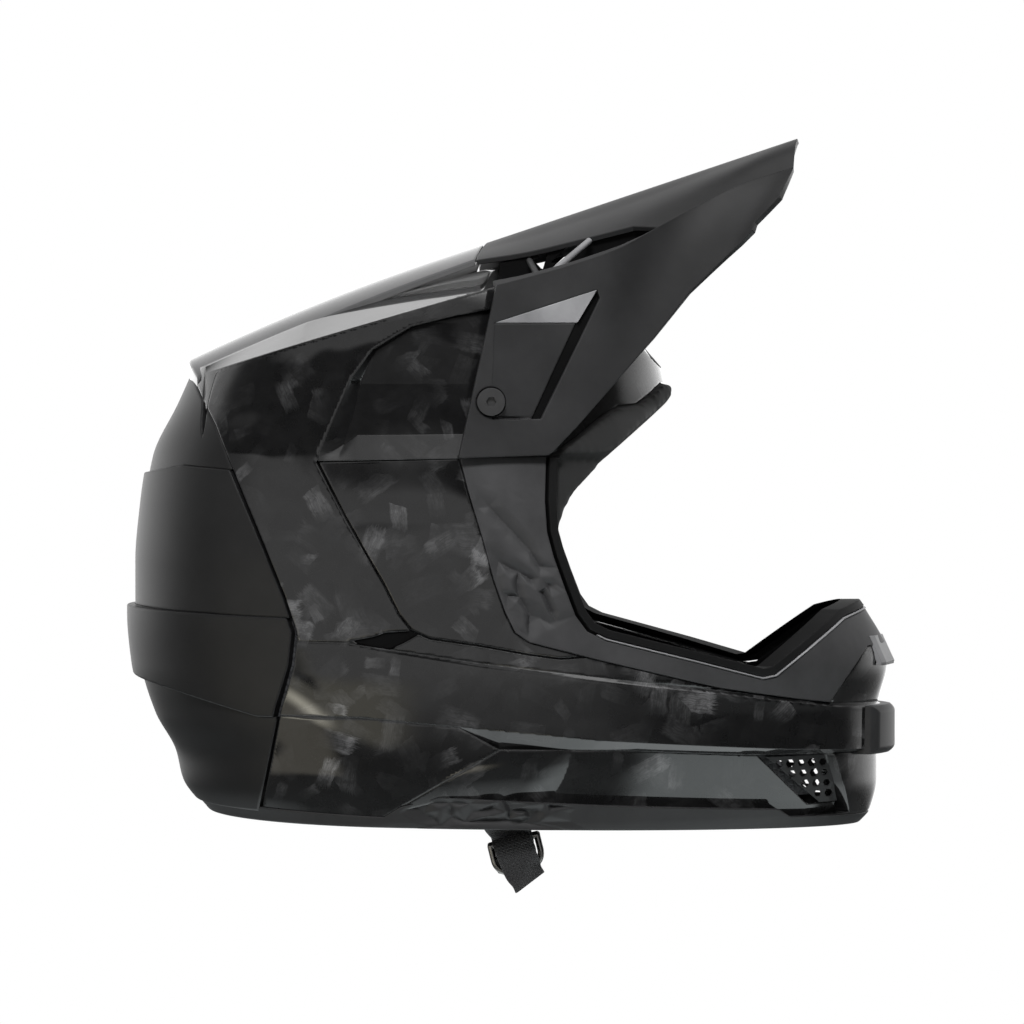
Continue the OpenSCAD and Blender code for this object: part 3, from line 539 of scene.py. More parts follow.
def chip_layer(n, flat, size, seed, long, wide, share, low):
    """Chips of chopped fibre lying in the surface, turned at random, each frayed and fading along its fibres."""
    moved = n.vec("ADD", n.vec("SCALE", flat, scale=1 / size), (seed * 7.3, seed * 3.1, 0))
    cell = n.new("TexVoronoi", Vector=moved, Scale=1.0)
    cell.voronoi_dimensions = "2D"
    local = n.vec("SUBTRACT", moved, cell.outputs["Position"])
    random = n.new("SeparateColor", Color=cell.outputs["Color"])
    turn = n.new("VectorRotate", Vector=local, Angle=n.times(random.outputs["Red"], 6.283))
    turn.rotation_type = "Z_AXIS"
    px, py, _ = n.xyz(turn.outputs["Vector"])
    at = n.new("CombineXYZ", X=n.times(px, 2.6), Y=n.times(py, 44.0), Z=n.times(random.outputs["Blue"], 50.0))
    fibre = n.noise(at.outputs["Vector"], 1.0, 3.0, 0.65)
    fray = n.scaled(fibre, 0.5, -0.25)
    ends, sides = (
        n.smooth(n.math("ADD", n.math("ABSOLUTE", v), n.times(fray, torn)), reach, reach - soft)
        for v, torn, reach, soft in ((px, 1.1, long, 0.1), (py, 0.36, wide, 0.05))
    )
    fade = n.scaled(n.smooth(px, -long, long * 0.6), 0.7, 0.3)
    streaks = n.scaled(n.smooth(fibre, 0.3, 0.7), 0.62, 0.38)
    lit = n.math("GREATER_THAN", random.outputs["Green"], 1 - share)
    power = n.scaled(n.math("POWER", random.outputs["Blue"], 3.2), 1 - low, low)
    return n.times(power, ends, sides, fade, streaks, lit)


def carbon(name, coat=1.0):
    n = material(name)
    x, y, z = n.xyz(n.coord)
    facing = n.xyz(n.new("NewGeometry").outputs["Normal"])
    ahead = n.math("GREATER_THAN", n.math("ABSOLUTE", facing["X"]), 0.74)
    above = n.math("GREATER_THAN", n.math("ABSOLUTE", facing["Z"]), 0.8)
    left = n.times(n.math("GREATER_THAN", y, 0.0), 0.37)
    flat = n.new("CombineXYZ", X=n.math("ADD", n.pick(ahead, x, y), left), Y=n.pick(above, z, y)).outputs["Vector"]
    wobble = n.new("TexNoise", Vector=n.coord, Scale=260.0, Detail=2.0).outputs["Color"]
    flat = n.vec("ADD", flat, n.vec("SCALE", n.vec("SUBTRACT", wobble, (0.5, 0.5, 0.5)), scale=0.0022))
    chips = chip_layer(n, flat, 0.021, 1, 0.46, 0.24, 0.7, 0.16)
    for size, seed, long, wide, share, low in [
        (0.017, 2, 0.45, 0.24, 0.65, 0.14), (0.027, 3, 0.40, 0.22, 0.5, 0.14), (0.012, 4, 0.44, 0.22, 0.45, 0.12),
    ]:
        chips = n.math("MAXIMUM", chips, chip_layer(n, flat, size, seed, long, wide, share, low))
    patch = n.smooth(n.noise(n.coord, 27.0, 1.0), 0.41, 0.6)
    worn = n.smooth(n.noise(n.coord, 210.0, 3.0, 0.7), 0.38, 0.58)
    chips = n.times(chips, n.scaled(worn, 0.55, 0.45))
    chips = n.times(chips, n.scaled(patch, 0.88, 0.12))
    chips = n.times(chips, n.scaled(n.smooth(z, 0.052, 0.03), 0.62, 0.38))
    mottle = n.noise(n.coord, 90.0, 4.0, 0.6)
    base = n.ramp(mottle, [(0.3, (0.0035, 0.0035, 0.0037)), (0.75, (0.009, 0.009, 0.0093))])
    colour = n.mix(chips, base, (CHIP_LIGHT, CHIP_LIGHT, CHIP_LIGHT * 1.02, 1))
    rough = n.scaled(mottle, 0.2, 0.4)
    wave = n.bump(n.noise(n.coord, 28.0, 1.0), 0.0004, 0.12, Normal=n.edge(0.0005))
    return n.show(
        Base_Color=colour, Roughness=rough, Specular_IOR_Level=0.1, Coat_Weight=coat, Coat_Roughness=0.03,
        Coat_Normal=wave,
    )


def plastic(name, level, rough=0.5, grain=0.0004, bump=0.25, coat=0.0, ior=0.5, fade=None):
    """Moulded plastic: fine grain in the surface, faint cloudiness in the colour and softly worn edges.

    With fade, the colour falls to half between those two places along x: painted shade, darker toward the larger x.
    """
    n = material(name)
    cloud = n.noise(n.coord, 38.0, 4.0, 0.6)
    fine = n.noise(n.coord, 1 / grain, 3.0, 0.6)
    colour = n.ramp(cloud, [(at, (v, v, v * 1.03)) for at, v in ((0.3, level * 0.75), (0.7, level * 1.25))])
    if fade:
        colour = n.vec("SCALE", colour, scale=n.scaled(n.smooth(n.xyz(n.coord)["X"], *fade), -0.5, 1.0))
    r = n.scaled(fine, 0.12, rough - 0.06)
    normal = n.bump(fine, grain * 0.3, bump, Normal=n.edge(0.0006))
    return n.show(
        Base_Color=colour, Roughness=r, Normal=normal, Coat_Weight=coat, Coat_Roughness=0.12, Specular_IOR_Level=ior,
    )


def metal(name, level, rough, tint=(1, 1, 1)):
    n = material(name)
    stretched = n.vec("MULTIPLY", n.coord, (1, 8, 1))
    brush = n.noise(stretched, 900.0, 3.0, 0.7)
    spots = n.noise(n.coord, 180.0, 3.0)
    colour = n.ramp(spots, [(0.3, tuple(level * 0.8 * t for t in tint)), (0.7, tuple(level * 1.15 * t for t in tint))])
    r = n.scaled(brush, 0.2, rough - 0.1)
    normal = n.bump(brush, 0.00002, 0.3, Normal=n.edge(0.0003))
    return n.show(Base_Color=colour, Metallic=1.0, Roughness=r, Normal=normal)


def foam():
    """Expanded beads, flattened against one another at the skin."""
    n = material("beaded_foam")
    beads = n.new("TexVoronoi", Vector=n.coord, Scale=330.0)
    beads.feature = "DISTANCE_TO_EDGE"
    gap = beads.outputs["Distance"]
    shade = n.ramp(gap, [(0.0, (0.016, 0.0165, 0.018)), (0.12, (0.05, 0.051, 0.055)), (0.6, (0.06, 0.061, 0.066))])
    height = n.math("MINIMUM", gap, 0.2)
    return n.show(Base_Color=shade, Roughness=0.62, Normal=n.bump(height, 0.0012, 0.6))


def cloth(name, level, count=1300.0, sheen=0.5, spread=0.35, nap=0.7):
    """A fine knit: loops in rows, with a soft nap."""
    n = material(name)
    warm = n.noise(n.coord, 45.0, 4.0)
    waves = []
    for vector in (n.coord, n.vec("MULTIPLY", n.coord, (-1, 1, 1))):
        w = n.new("TexWave", Vector=vector, Scale=count / 6.3, Distortion=0.6, Detail=1.0)
        w.wave_type, w.bands_direction = "BANDS", "DIAGONAL"
        waves.append(w.outputs["Fac"])
    knit = n.times(*waves)
    fuzz = n.noise(n.coord, 2400.0, 2.0)
    height = n.math("ADD", knit, n.times(fuzz, 0.5))
    low, high = level * (1 - spread), level * (1 + spread)
    shade = n.scaled(knit, 0.5, n.times(warm, 0.5))
    colour = n.ramp(shade, [(0.2, low), (0.8, high)])
    return n.show(
        Base_Color=colour, Roughness=0.85, Normal=n.bump(height, 0.0003, nap), Sheen_Weight=sheen, Sheen_Roughness=0.5,
    )


def webbing():
    """Woven webbing: ribs across, a plain selvedge along each edge. u runs across, v along, in millimetres."""
    n = material("woven_webbing")
    u, v, _ = n.xyz(n.new("UVMap").outputs["UV"])
    along = n.math("SINE", n.times(v, 2 * math.pi / 1.5))
    across = n.math("SINE", n.times(u, 2 * math.pi / 1.8))
    weave = n.times(along, across)
    edge = n.math("GREATER_THAN", n.math("ABSOLUTE", u), 7.6)
    height = n.math("ADD", n.times(weave, n.math("SUBTRACT", 1.0, edge)), n.times(along, 0.4))
    fuzz = n.noise(n.coord, 1800.0, 2.0)
    shade = n.scaled(height, 0.2, n.times(fuzz, 0.8))
    colour = n.ramp(shade, [(0.1, (0.009, 0.009, 0.0095)), (0.8, (0.035, 0.035, 0.037))])
    return n.show(Base_Color=colour, Roughness=0.7, Normal=n.bump(height, 0.00025, 0.8), Sheen_Weight=0.3)


CHIP_LIGHT = 0.23
CARBON = carbon("chopped_carbon")
CARBON_DEEP = carbon("chopped_carbon_deep", 0.2)
REAR_PAINT = plastic("satin_rear", 0.009, 0.42, 0.0003, 0.12, ior=0.35)
SPINE_PAINT = plastic("gloss_spine", 0.06, 0.3, 0.0003, 0.05, coat=1.0)
FRAME_PLASTIC = plastic("matte_frame", 0.055, 0.5, 0.0003, 0.2, ior=0.3)
# The visor's colour falls to half toward its front: painted shade, not a change in the plastic.
VISOR_PLASTIC = plastic("matte_visor", 0.026, 0.42, 0.0003, 0.2, ior=0.35, fade=(0.07, 0.15))
TRIM_PLASTIC = plastic("matte_trim", 0.026, 0.45, 0.0003, 0.2, ior=0.35)
LIP_PLASTIC = plastic("lip_grey", 0.24, 0.45, 0.0003, 0.2)
# Near-black with hardly any reflection: painted shade in the visor's slit and air slot, and a painted dark reflection
# in the side notch.
PAINTED_DARK = plastic("painted_shade_and_reflection_black", 0.004, 0.7, 0.0003, 0.2, ior=0.1)
GRILLE_PLASTIC = plastic("grille_nylon", 0.012, 0.5, 0.0003, 0.3)
BLACK_NYLON = plastic("black_nylon", 0.02, 0.45, 0.0002, 0.2)
SEAL_RUBBER = plastic("soft_rubber", 0.006, 0.6, 0.0002, 0.2, ior=0.2)
EDGE_RUBBER = plastic("edge_rubber", 0.012, 0.6, 0.0002, 0.15, ior=0.3)
# Light grey for a thin strip along the eye opening: a painted highlight on the rubber's edge.
HIGHLIGHT_GREY = plastic("painted_highlight_grey", 0.3, 0.4, 0.0002, 0.2)
# Light grey for the up-facing triangle on the visor's arm: painted light where the facet faces the top light.
LIT_FACET_GREY = plastic("painted_light_facet_grey", 0.3, 0.45, 0.0003, 0.2)
FOAM = foam()
PAD_CLOTH = cloth("pad_knit", 0.016)
TRIM_CLOTH = cloth("brow_nylon", 0.022, 2600.0, 0.25, spread=0.12, nap=0.05)
WEBBING = webbing()
STEEL = metal("plated_steel", 0.5, 0.35)
GUNMETAL = metal("dark_nickel", 0.16, 0.28, (1, 0.98, 0.95))
SCREW_GREY = plastic("screw_grey", 0.036, 0.42, 0.0002, 0.15)


def dress(o, material):
    o.data.materials.clear()
    o.data.materials.append(material)


def stand_for(o, material, slot, *nodes, body=BODY):
    dress(o, material)
    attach(o, body)
    if nodes:
        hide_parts(*nodes)
    return o


def piece(name, parts, material, slot, *nodes, body=BODY, sharp=40):
    return stand_for(mesh_object(name, parts, sharp), material, slot, *nodes, body=body)


# The shell and its panels
FULL = grid(0, math.pi, -131, 152, 330, 210)


def placed(relief=None, inset=0.0, rise=0.0):
    def at(p, low):
        x, z = wall(p)[:, 0], p[:, 1]
        extra = relief(x, z) if relief else 0
        return wall(p, inset + low + extra, rise)

    return at


def on_wall(f):
    return lambda p: np.maximum(side(f)(p), below_roof(p))


carbon_base = panel(*FULL, on_wall(every(
    away_from(REAR), away_from(EYEPORT, 0), away_from(FRAME), away_from(MID_PANEL, 0.9), away_from(RECESS, 0),
    away_from(ridge_field, 0), away_from(POCKET, 0), away_from(NOTCH, 0), above_trim,
)), placed(), depth=8)
notch = panel(
    *grid(1.0, 2.2, -42, -24, 200, 60), side(every(NOTCH, away_from(ridge_field, 0))), placed(None, 1.2), bevel=0.3,
)
mid_panel = panel(*grid(0.6, 2.2, -50, 60, 260, 130), on_wall(every(
    MID_PANEL, away_from(FRAME), away_from(RECESS, 0), away_from(ridge_field, 0), away_from(NOTCH, 0),
)), placed(lambda x, z: 0.9 * ease((60 - x) / 60)))


def floor_edge(x, z):
    """Negative on the recess's floor, inside its ledge and its chamfer."""
    return np.maximum(
        np.interp(x, [-34.7, -29.2, -17.7, 30, 60], [50, 52.6, 60.3, 60.8, 61]) - z,
        np.interp(z, [52, 72, 85.5, 96, 99.2, 110], [-25.7, -19, -15.8, -10.9, -8.6, 9.5]) - x,
    )


def recess_part(f, creases=()):
    field = on_wall(every(RECESS, away_from(FRAME), f))
    return panel(
        *grid(0.9, 2.2, 40, 132, 240, 130), field, placed(relief_recess), bevel=0.15, sink=0.05, creases=creases,
    )


recess_floor = recess_part(floor_edge)
recess = recess_part(lambda x, z: -floor_edge(x, z), (
    side(lambda x, z: z - np.interp(x, [-34.7, -29.2, -17.7], [50, 52.6, 60.3]) - 40 * (x > -17.7)),
))
ridge = panel(
    *grid(0, 2.3, -98, -28, 520, 90), side(every(ridge_field, away_from(REAR), away_from(FRAME))), placed(relief_ridge),
    depth=7, bevel=0.45, sink=0.2, creases=(side(below(RIDGE_LOW)),),
)
pocket = panel(*grid(0, 2.0, -124, -70, 420, 80), side(every(
    POCKET, away_from(ridge_field, 0), away_from(GRILLE, 0.2), above_trim,
)), placed(relief_pocket), depth=4, creases=(side(lambda x, z: V_FOLD(x, z) - 34),))

roof_grid = grid(-104, 134, 0, 112, 300, 160)


def roof_at(p, low):
    x, y = p[:, 0], p[:, 1]
    return np.c_[x, y, roof_z(x, y) - low]


def roof_field(p):
    x, y = p[:, 0], p[:, 1]
    z = roof_z(x, y)
    return np.maximum.reduce([
        y - width_at(x, z), -EYEPORT(x, z), -RECESS(x, z) - 200 * (y < 60), SEAM - REAR(x, z), brow_front(p) + 0.3,
    ])


def brow_front(p):
    """Positive where the rubber edging laps over the front edge of the brow."""
    z = roof_z(p[:, 0], p[:, 1])
    return p[:, 0] - np.interp(z, [74.9, 77.3, 82.6, 89.8, 100.6, 110], [107.3, 116.2, 121.4, 124.3, 117.5, 111.5])


def lap_field(p):
    x, y = p[:, 0], p[:, 1]
    z = roof_z(x, y)
    return np.maximum.reduce([y - width_at(x, z), -EYEPORT(x, z), -brow_front(p), y - 70])


roof = panel(*roof_grid, roof_field, roof_at, creases=(lambda p: p[:, 0] - 52,))
piece("brow_lap", [panel(
    *grid(100, 134, 0, 75, 90, 110), lap_field, lambda p, low: roof_at(p, low - 0.5), depth=4, bevel=1.2, sink=0.9,
)], EDGE_RUBBER, "seal_rubber")
piece("shell", [carbon_base, mid_panel, recess, ridge, pocket, roof], CARBON, "carbon", "outer_shell", sharp=38)
piece("recess_floor", [recess_floor], CARBON_DEEP, "carbon", sharp=38)
# The side notch is set in and coloured near-black: a painted dark reflection.
piece("side_notch", [notch], PAINTED_DARK, "dark_gloss")

# Rear cover: four louvres, each lapping over the next
LOUVRE_EDGES = [
    line((-140, 200), (0, 200)), line((-121.9, 41.8), (-98, 46), (-60, 43)), line((-128, -20.6), (-60, -23), (0, -25)),
    line((-128, -51.8), (-100, -58), (-60, -69), (0, -69)), line((-140, -400), (0, -400)),
]
louvres = []
for rise, top, low in zip((0.0, 2.5, 6.5, 2.0), LOUVRE_EDGES, LOUVRE_EDGES[1:]):
    louvres.append(panel(
        *grid(1.7, math.pi, -122, 100, 200, 190), on_wall(every(REAR, below(top), above(low), above_trim)),
        placed(None, -0.1, rise), depth=4.5, sink=0.35,
    ))
piece("rear_panel", louvres, REAR_PAINT, "dark_satin", "rear_cover")

# Matte frame beside the eyes, the rubber along the edge of the opening, and a thin light-grey strip along that edge
# which paints its highlight
frame_field = every(FRAME, away_from(EYEPORT, 1.1), away_from(ridge_field, 0.3))
piece("eye_frame", [panel(
    *grid(0, 1.6, -72, 52, 560, 250), side(frame_field), placed(lambda x, z: -0.8 - FRAME_RELIEF(x, z)), depth=5,
)], FRAME_PLASTIC, "frame_matte", "eyeport_frame")
seal_field = every(
    lambda x, z: EYEPORT(x, z) + 0.35, away_from(EYEPORT, -4), lambda x, z: z - 50, lambda x, z: 66 - x,
)
highlight_strip_field = every(
    lambda x, z: EYEPORT(x, z) - 0.85, away_from(EYEPORT, 0.2), lambda x, z: z - 30, lambda x, z: 93 - x,
)
piece("eye_seal", [panel(
    *grid(0, 1.5, -58, 52, 560, 260), side(seal_field), placed(None, -1.2), depth=9, bevel=0.35, sink=0.3,
)], SEAL_RUBBER, "seal_rubber", "eyeport_seal")
# A thin light-grey strip inside the opening's edge: painted highlight along the rubber.
piece("eye_painted_highlight", [panel(
    *grid(0, 1.4, -58, 32, 700, 260), side(highlight_strip_field), placed(None, -1.5), depth=2, bevel=0.2, sink=0.15,
)], HIGHLIGHT_GREY, "seal_rubber")

# Bottom trim
piece("bottom_trim", [panel(
    *grid(0, math.pi, -127, -104, 700, 60), side(every(below(TRIM_TOP), above(RIM))),
    placed(lambda x, z: -0.6 - TRIM_RELIEF(x, z)), depth=9,
)], TRIM_PLASTIC, "trim_matte", "base_trim")


# Nose of the chin bar, with rounded edges
def nose_field(p):
    w = wall(p)
    return np.maximum.reduce([w[:, 1] - 26, np.abs(w[:, 2] + 80) - 11.5, np.abs(w[:, 0] - 250) - 60])


piece("nose", [panel(
    *grid(0, 0.6, -92, -68, 260, 110), nose_field, placed(None, -8.6), depth=9, bevel=3.6, sink=2.6,
)], TRIM_PLASTIC, "trim_matte", "chin_nose")


# Crown spine
def spine_at(p, low):
    x, v = p[:, 0], p[:, 1]
    bow = 7 * (1 - 1.5 * (x + 101) / 141)
    gap_wall = np.interp(x, [-101, -43, 40], [6, 3, 2.5])
    z = spine_z(x) - 9 * v * v - low * np.where(low > 1, gap_wall / 3, 1)
    return np.c_[x + bow * v * v, v * 46, z]


def spine_field(p):
    return np.maximum.reduce([-101 - p[:, 0], p[:, 0] - 40, (p[:, 1] - 1) * 46])


piece("spine", [panel(
    *grid(-101, 40, 0, 1, 180, 60), spine_field, spine_at, back=True, bevel=0.8, sink=0.5,
)], SPINE_PAINT, "dark_gloss", "crown_spine")

# Visor
SECTIONS = [
    (41.6, (47, 129), (30, 51)), (60, (62, 133), (50, 51)), (85, (81, 138.5), (71, 51.5)), (110, (102, 146), (91, 72)),
    (135, (122, 157), (112, 96.5)), (160, (143, 168.5), (136, 126)), (180, (162, 178), (158, 148)),
    (190.5, (187, 186.5), (178, 171)),
]
PULL = [0, 0, 0, 0, 6, 12, 18, 26]


def climb(x):
    return 202 + (x - 190.5) * (202 - 151.5) / (190.5 - 40)


def plate_y(x, z):
    return 112.2 - 0.232 * (x - 30) - 0.145 * (z - 50)


def visor_rows():
    top, side_rows = [], []
    for i, (x, r, l) in enumerate(SECTIONS):
        ry, ly = plate_y(*r) - PULL[i], plate_y(*l)
        t, ridge_pt, low = np.array([x, 0, climb(x)]), np.array([r[0], ry, r[1]]), np.array([l[0], ly, l[1]])
        bow_a, bow_b = (4.6, 7.4) if i == 0 else (0, 0)
        a = t + (ridge_pt - t) * 0.34 + [-bow_a, 0, 3]
        b = t + (ridge_pt - t) * 0.67 + [-bow_b, 0, 3.5]
        mid = (ridge_pt + low) / 2 + [0, 0.6, 0]
        top.append([a * [1, -1, 1], t, a, b, ridge_pt, 2 * ridge_pt - b])
        side_rows.append([ridge_pt, mid, low])
    return np.array(top), np.array(side_rows)


TOP_ROWS, SIDE_ROWS = visor_rows()


def catmull(t, n):
    """Weights of n points at places t, 0 to n - 1."""
    i = np.clip(np.floor(t).astype(int), 0, n - 2)
    f = t - i
    w = np.zeros((len(t), n + 2))
    k = np.c_[-f + 2 * f**2 - f**3, 2 - 5 * f**2 + 3 * f**3, f + 4 * f**2 - 3 * f**3, -(f**2) + f**3] / 2
    for j in range(4):
        np.add.at(w, (np.arange(len(t)), i + j), k[:, j])
    out = w[:, 1:-1].copy()
    out[:, 0] += 2 * w[:, 0]
    out[:, 1] -= w[:, 0]
    out[:, -1] += 2 * w[:, -1]
    out[:, -2] -= w[:, -1]
    return out


def visor_top(p):
    wu = catmull(p[:, 0], 8)
    wv = catmull(p[:, 1] * 3 + 1, 6)
    return np.einsum("ni,nj,ijk->nk", wu, wv, TOP_ROWS)


def visor_side(p):
    wu, w = catmull(p[:, 0], 8), p[:, 1]
    wv = np.c_[2 * (w - 0.5) * (w - 1), -4 * w * (w - 1), 2 * w * (w - 0.5)]
    return np.einsum("ni,nj,ijk->nk", wu, wv, SIDE_ROWS)


def sheet_place(surface, relief=None, out=1.0):
    def at(p, low):
        e = 1e-3
        du = surface(p + [e, 0]) - surface(p - [e, 0])
        dv = surface(p + [0, e]) - surface(p - [0, e])
        nrm = np.cross(du, dv)
        nrm /= np.maximum(np.linalg.norm(nrm, axis=1), 1e-9)[:, None]
        nrm *= out
        q = surface(p)
        extra = relief(q[:, 0], q[:, 2]) if relief else 0
        return q - nrm * (np.asarray(low) + extra)[:, None]

    return at


def on_visor(f):
    """A field over the visor's side from one over x and z."""
    def at(p):
        q = visor_side(p)
        return f(q[:, 0], q[:, 2])

    return at


PLATE = outline([
    (29.9, 49.9), (33, 67.2), (39.4, 99.2), (45.5, 127), (60, 145), (120, 165), (200, 200), (178.1, 171.3),
    (167.1, 159.5), (165.7, 155.7), (160, 149.5), (136.4, 126.5), (120, 105.5), (100, 82.4), (83.8, 64),
    (72.8, 52.6), (70.5, 51.2),
])
ARM_RECESS = outline([(46.2, 111.7), (93.2, 127.2), (84.4, 112.8), (65.5, 67.7), (44, 67.7)])
SLIT = outline([(93.2, 127.2), (94.5, 123.5), (67.3, 67.7), (63.2, 67.7), (84, 113)])
UP_FACET = outline([(46.2, 111.7), (93.2, 127.2), (84.2, 112.2)])
SLOT = outline([(30, 58), (110, 62), (122, 70), (104, 78), (75, 85), (58, 89), (30, 92)])


def visor_relief(x, z):
    right = np.interp(z, [67.7, 112.8], [65.5, 84.4])
    floor = 2.0 * np.clip((x - 44) / np.maximum(right - 44, 1), 0, 1)
    ramp = 2.0 * np.clip((111.7 + (x - 46.2) * 0.33 - z) / 13, 0, 1)
    inside = ARM_RECESS(x, z) < 0
    deep = np.where(UP_FACET(x, z) < 0, np.minimum(ramp, floor), floor)
    groove = np.interp(x, [45, 56, 62, 65], [1.3, 1.3, 0.4, 0.2]) * np.exp(-(((z - 68.4) / 0.45) ** 2))
    groove *= (x > 45) & (x < 65)
    return np.where(inside, deep + groove, 0)


PIVOT_X, PIVOT_Z, BUSH_HOLE = 44.5, 75.5, 6.9
visor_field = on_visor(every(
    PLATE, away_from(SLIT, 0), lambda x, z: BUSH_HOLE - np.hypot(x - PIVOT_X, z - PIVOT_Z), away_from(UP_FACET, 0.12),
))


def slot_field(p):
    q = visor_top(p)
    x, y = q[:, 0], q[:, 1]
    return np.maximum.reduce([-SLOT(x, y), (p[:, 1] - 1) * 80, p[:, 0] * 25 - 175, -p[:, 0] * 25])


plate = panel(
    *grid(0, 7, 0, 1.18, 300, 170), visor_field, sheet_place(visor_side, visor_relief), depth=2.2,
    creases=(on_visor(ARM_RECESS),), back=True,
)
peak = panel(*grid(0, 7, 0, 1, 300, 150), slot_field, sheet_place(visor_top), depth=2.2, back=True)
# Near-black sheet 3 mm behind the slit in the visor's arm: painted shade standing for the slit's shaded wall.
slit_shade_sheet = panel(
    *grid(0, 4.5, 0, 1.1, 150, 100), on_visor(lambda x, z: SLIT(x, z) - 2), sheet_place(visor_side), depth=0.8,
)
SLIT_DEEP = 3.0
slit_shade_sheet = (slit_shade_sheet[0] - [0, SLIT_DEEP, 0], slit_shade_sheet[1])
# The up-facing triangle on the visor's arm, in light grey: painted light, the visor's own plastic being dark.
piece("arm_facet", [panel(
    *grid(0, 3.2, 0, 0.4, 200, 90), on_visor(UP_FACET), sheet_place(visor_side, visor_relief),
    depth=2.2, bevel=0.2, sink=0.1,
)], LIT_FACET_GREY, "visor_matte", body="visor")


def bar(points, r=1.5, n=10):
    """A round bar through points."""
    pts = np.array(points, float)
    V, F = [], []
    for i, p in enumerate(pts):
        d = pts[min(i + 1, len(pts) - 1)] - pts[max(i - 1, 0)]
        d /= np.linalg.norm(d)
        a = np.cross(d, [0, 0, 1] if abs(d[2]) < 0.9 else [1, 0, 0])
        a /= np.linalg.norm(a)
        b = np.cross(d, a)
        for k in range(n):
            t = 2 * math.pi * k / n
            V.append(p + r * (math.cos(t) * a + math.sin(t) * b))
    for i in range(len(pts) - 1):
        for k in range(n):
            a0, a1 = i * n + k, i * n + (k + 1) % n
            F += [(a0, a0 + n, a1 + n), (a0, a1 + n, a1)]
    for k in range(1, n - 1):
        e = (len(pts) - 1) * n
        F += [(0, k, k + 1), (e, e + k + 1, e + k)]
    return np.array(V), np.array(F)


def strut(inner_x, outer_x):
    """A bar across the air slot, from the visor's top to its arm."""
    return bar([
        (inner_x, 62, climb(inner_x) - 17.5), (outer_x, float(plate_y(outer_x, 138)) - 3, 132 + 0.3 * (outer_x - 62)),
    ])


piece("slot_strut", [strut(90, 72)], LIP_PLASTIC, "visor_matte", body="visor")
rib = bar([(60, 0, climb(60) - 3.6), (170, 0, climb(170) - 3.6)])
piece("visor_shell", [plate, peak, strut(62, 66), rib], VISOR_PLASTIC, "visor_matte", "visor", body="visor", sharp=35)
piece("slit_painted_shade", [slit_shade_sheet], PAINTED_DARK, "visor_matte", body="visor")

# Inner wall of the air slot in near-black, painted shade inside the slot, with the two gaps that the light comes
# through
GAPS = [outline([seen(*q, h) for q in shape]) for h in (57, -57) for shape in (
    [(534, 261), (547, 255), (542.5, 270)], [(549, 271), (575, 247), (586, 244.5), (556, 271)],
)]


def slot_shade_field(p):
    x, z = p[:, 0], p[:, 1]
    top, low = climb(x) - 15 - 0.09 * (x - 60), 128 + 0.2 * (x - 50)
    return np.maximum.reduce([z - top, low - z, 48 - x, x - 119, *(-g(x, z) for g in GAPS)])


piece("slot_painted_shade_wall", [panel(
    *grid(46, 121, 125, 176, 150, 100), slot_shade_field, lambda p, low: np.c_[p[:, 0], 57.6 - low, p[:, 1]],
    depth=1.2, bevel=0.3, back=True,
)], PAINTED_DARK, "visor_matte", body="visor")

# Hard CAD pieces keep their shape
for finish, names in (
    (LIP_PLASTIC, "chin_lip"), (GRILLE_PLASTIC, "chin_grille_left chin_grille_right"), (SCREW_GREY, "visor_screws"),
    (BLACK_NYLON, "visor_bushes cheek_snaps"), (STEEL, "visor_posts strap_anchors"),
    (FOAM, "crown_liner side_liner_left side_liner_right chin_liner"), (GUNMETAL, "d_ring_outer d_ring_inner"),
):
    for name in names.split():
        dress(NODES[name], finish)


# Padded pieces
def bake(o):
    """Applies the modifiers."""
    dg = bpy.context.evaluated_depsgraph_get()
    me = bpy.data.meshes.new_from_object(o.evaluated_get(dg))
    o.modifiers.clear()
    o.data = me


def points_of(o, what="co"):
    return np.array([getattr(v, what) for v in o.data.vertices], float)


def put_points(o, co):
    o.data.vertices.foreach_set("co", co.astype(np.float32).ravel())


def soft_piece(name, node, voxel, shrink, material, seams=None, swell=2.5, cap=0.004):
    """The CAD solid, remeshed and slightly shrunk, then blown up as cloth under pressure."""
    o = add_object(name, NODES[node].data.copy())
    m = o.modifiers.new("voxels", "REMESH")
    m.mode = "VOXEL"
    m.voxel_size = voxel
    m.use_smooth_shade = True
    s = o.modifiers.new("even", "SMOOTH")
    s.factor, s.iterations = 0.5, 6
    d = o.modifiers.new("shrink", "DISPLACE")
    d.strength, d.mid_level = -shrink, 0
    bake(o)
    start = points_of(o)
    c = o.modifiers.new("cloth", "CLOTH")
    c.settings.quality = 4
    c.settings.use_pressure = True
    c.settings.uniform_pressure_force = swell
    c.settings.effector_weights.gravity = 0
    c.settings.mass = 0.4
    c.point_cache.frame_start, c.point_cache.frame_end = 1, 12
    scene = bpy.context.scene
    for f in range(1, 13):
        scene.frame_set(f)
    bake(o)
    move = points_of(o) - start
    size = np.linalg.norm(move, axis=1)[:, None]
    put_points(o, start + move * np.minimum(1, cap / np.maximum(size, 1e-9)))
    scene.frame_set(1)
    if seams:
        co = points_of(o)
        put_points(o, co - points_of(o, "normal") * seams(co / MM)[:, None] * MM)
        o.data.update()
    u = o.modifiers.new("round", "SUBSURF")
    u.levels = u.render_levels = 1
    bake(o)
    o.data.shade_smooth()
    dress(o, material)
    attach(o, BODY)
    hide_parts(node)
    return o


def channel(dist, wide, deep):
    return deep * np.exp(-((dist / wide) ** 2))


CHEEK_RING = outline([(18, -30), (58, -33), (72, -44), (75, -60), (74, -84), (64, -92), (24, -92), (14, -78)])


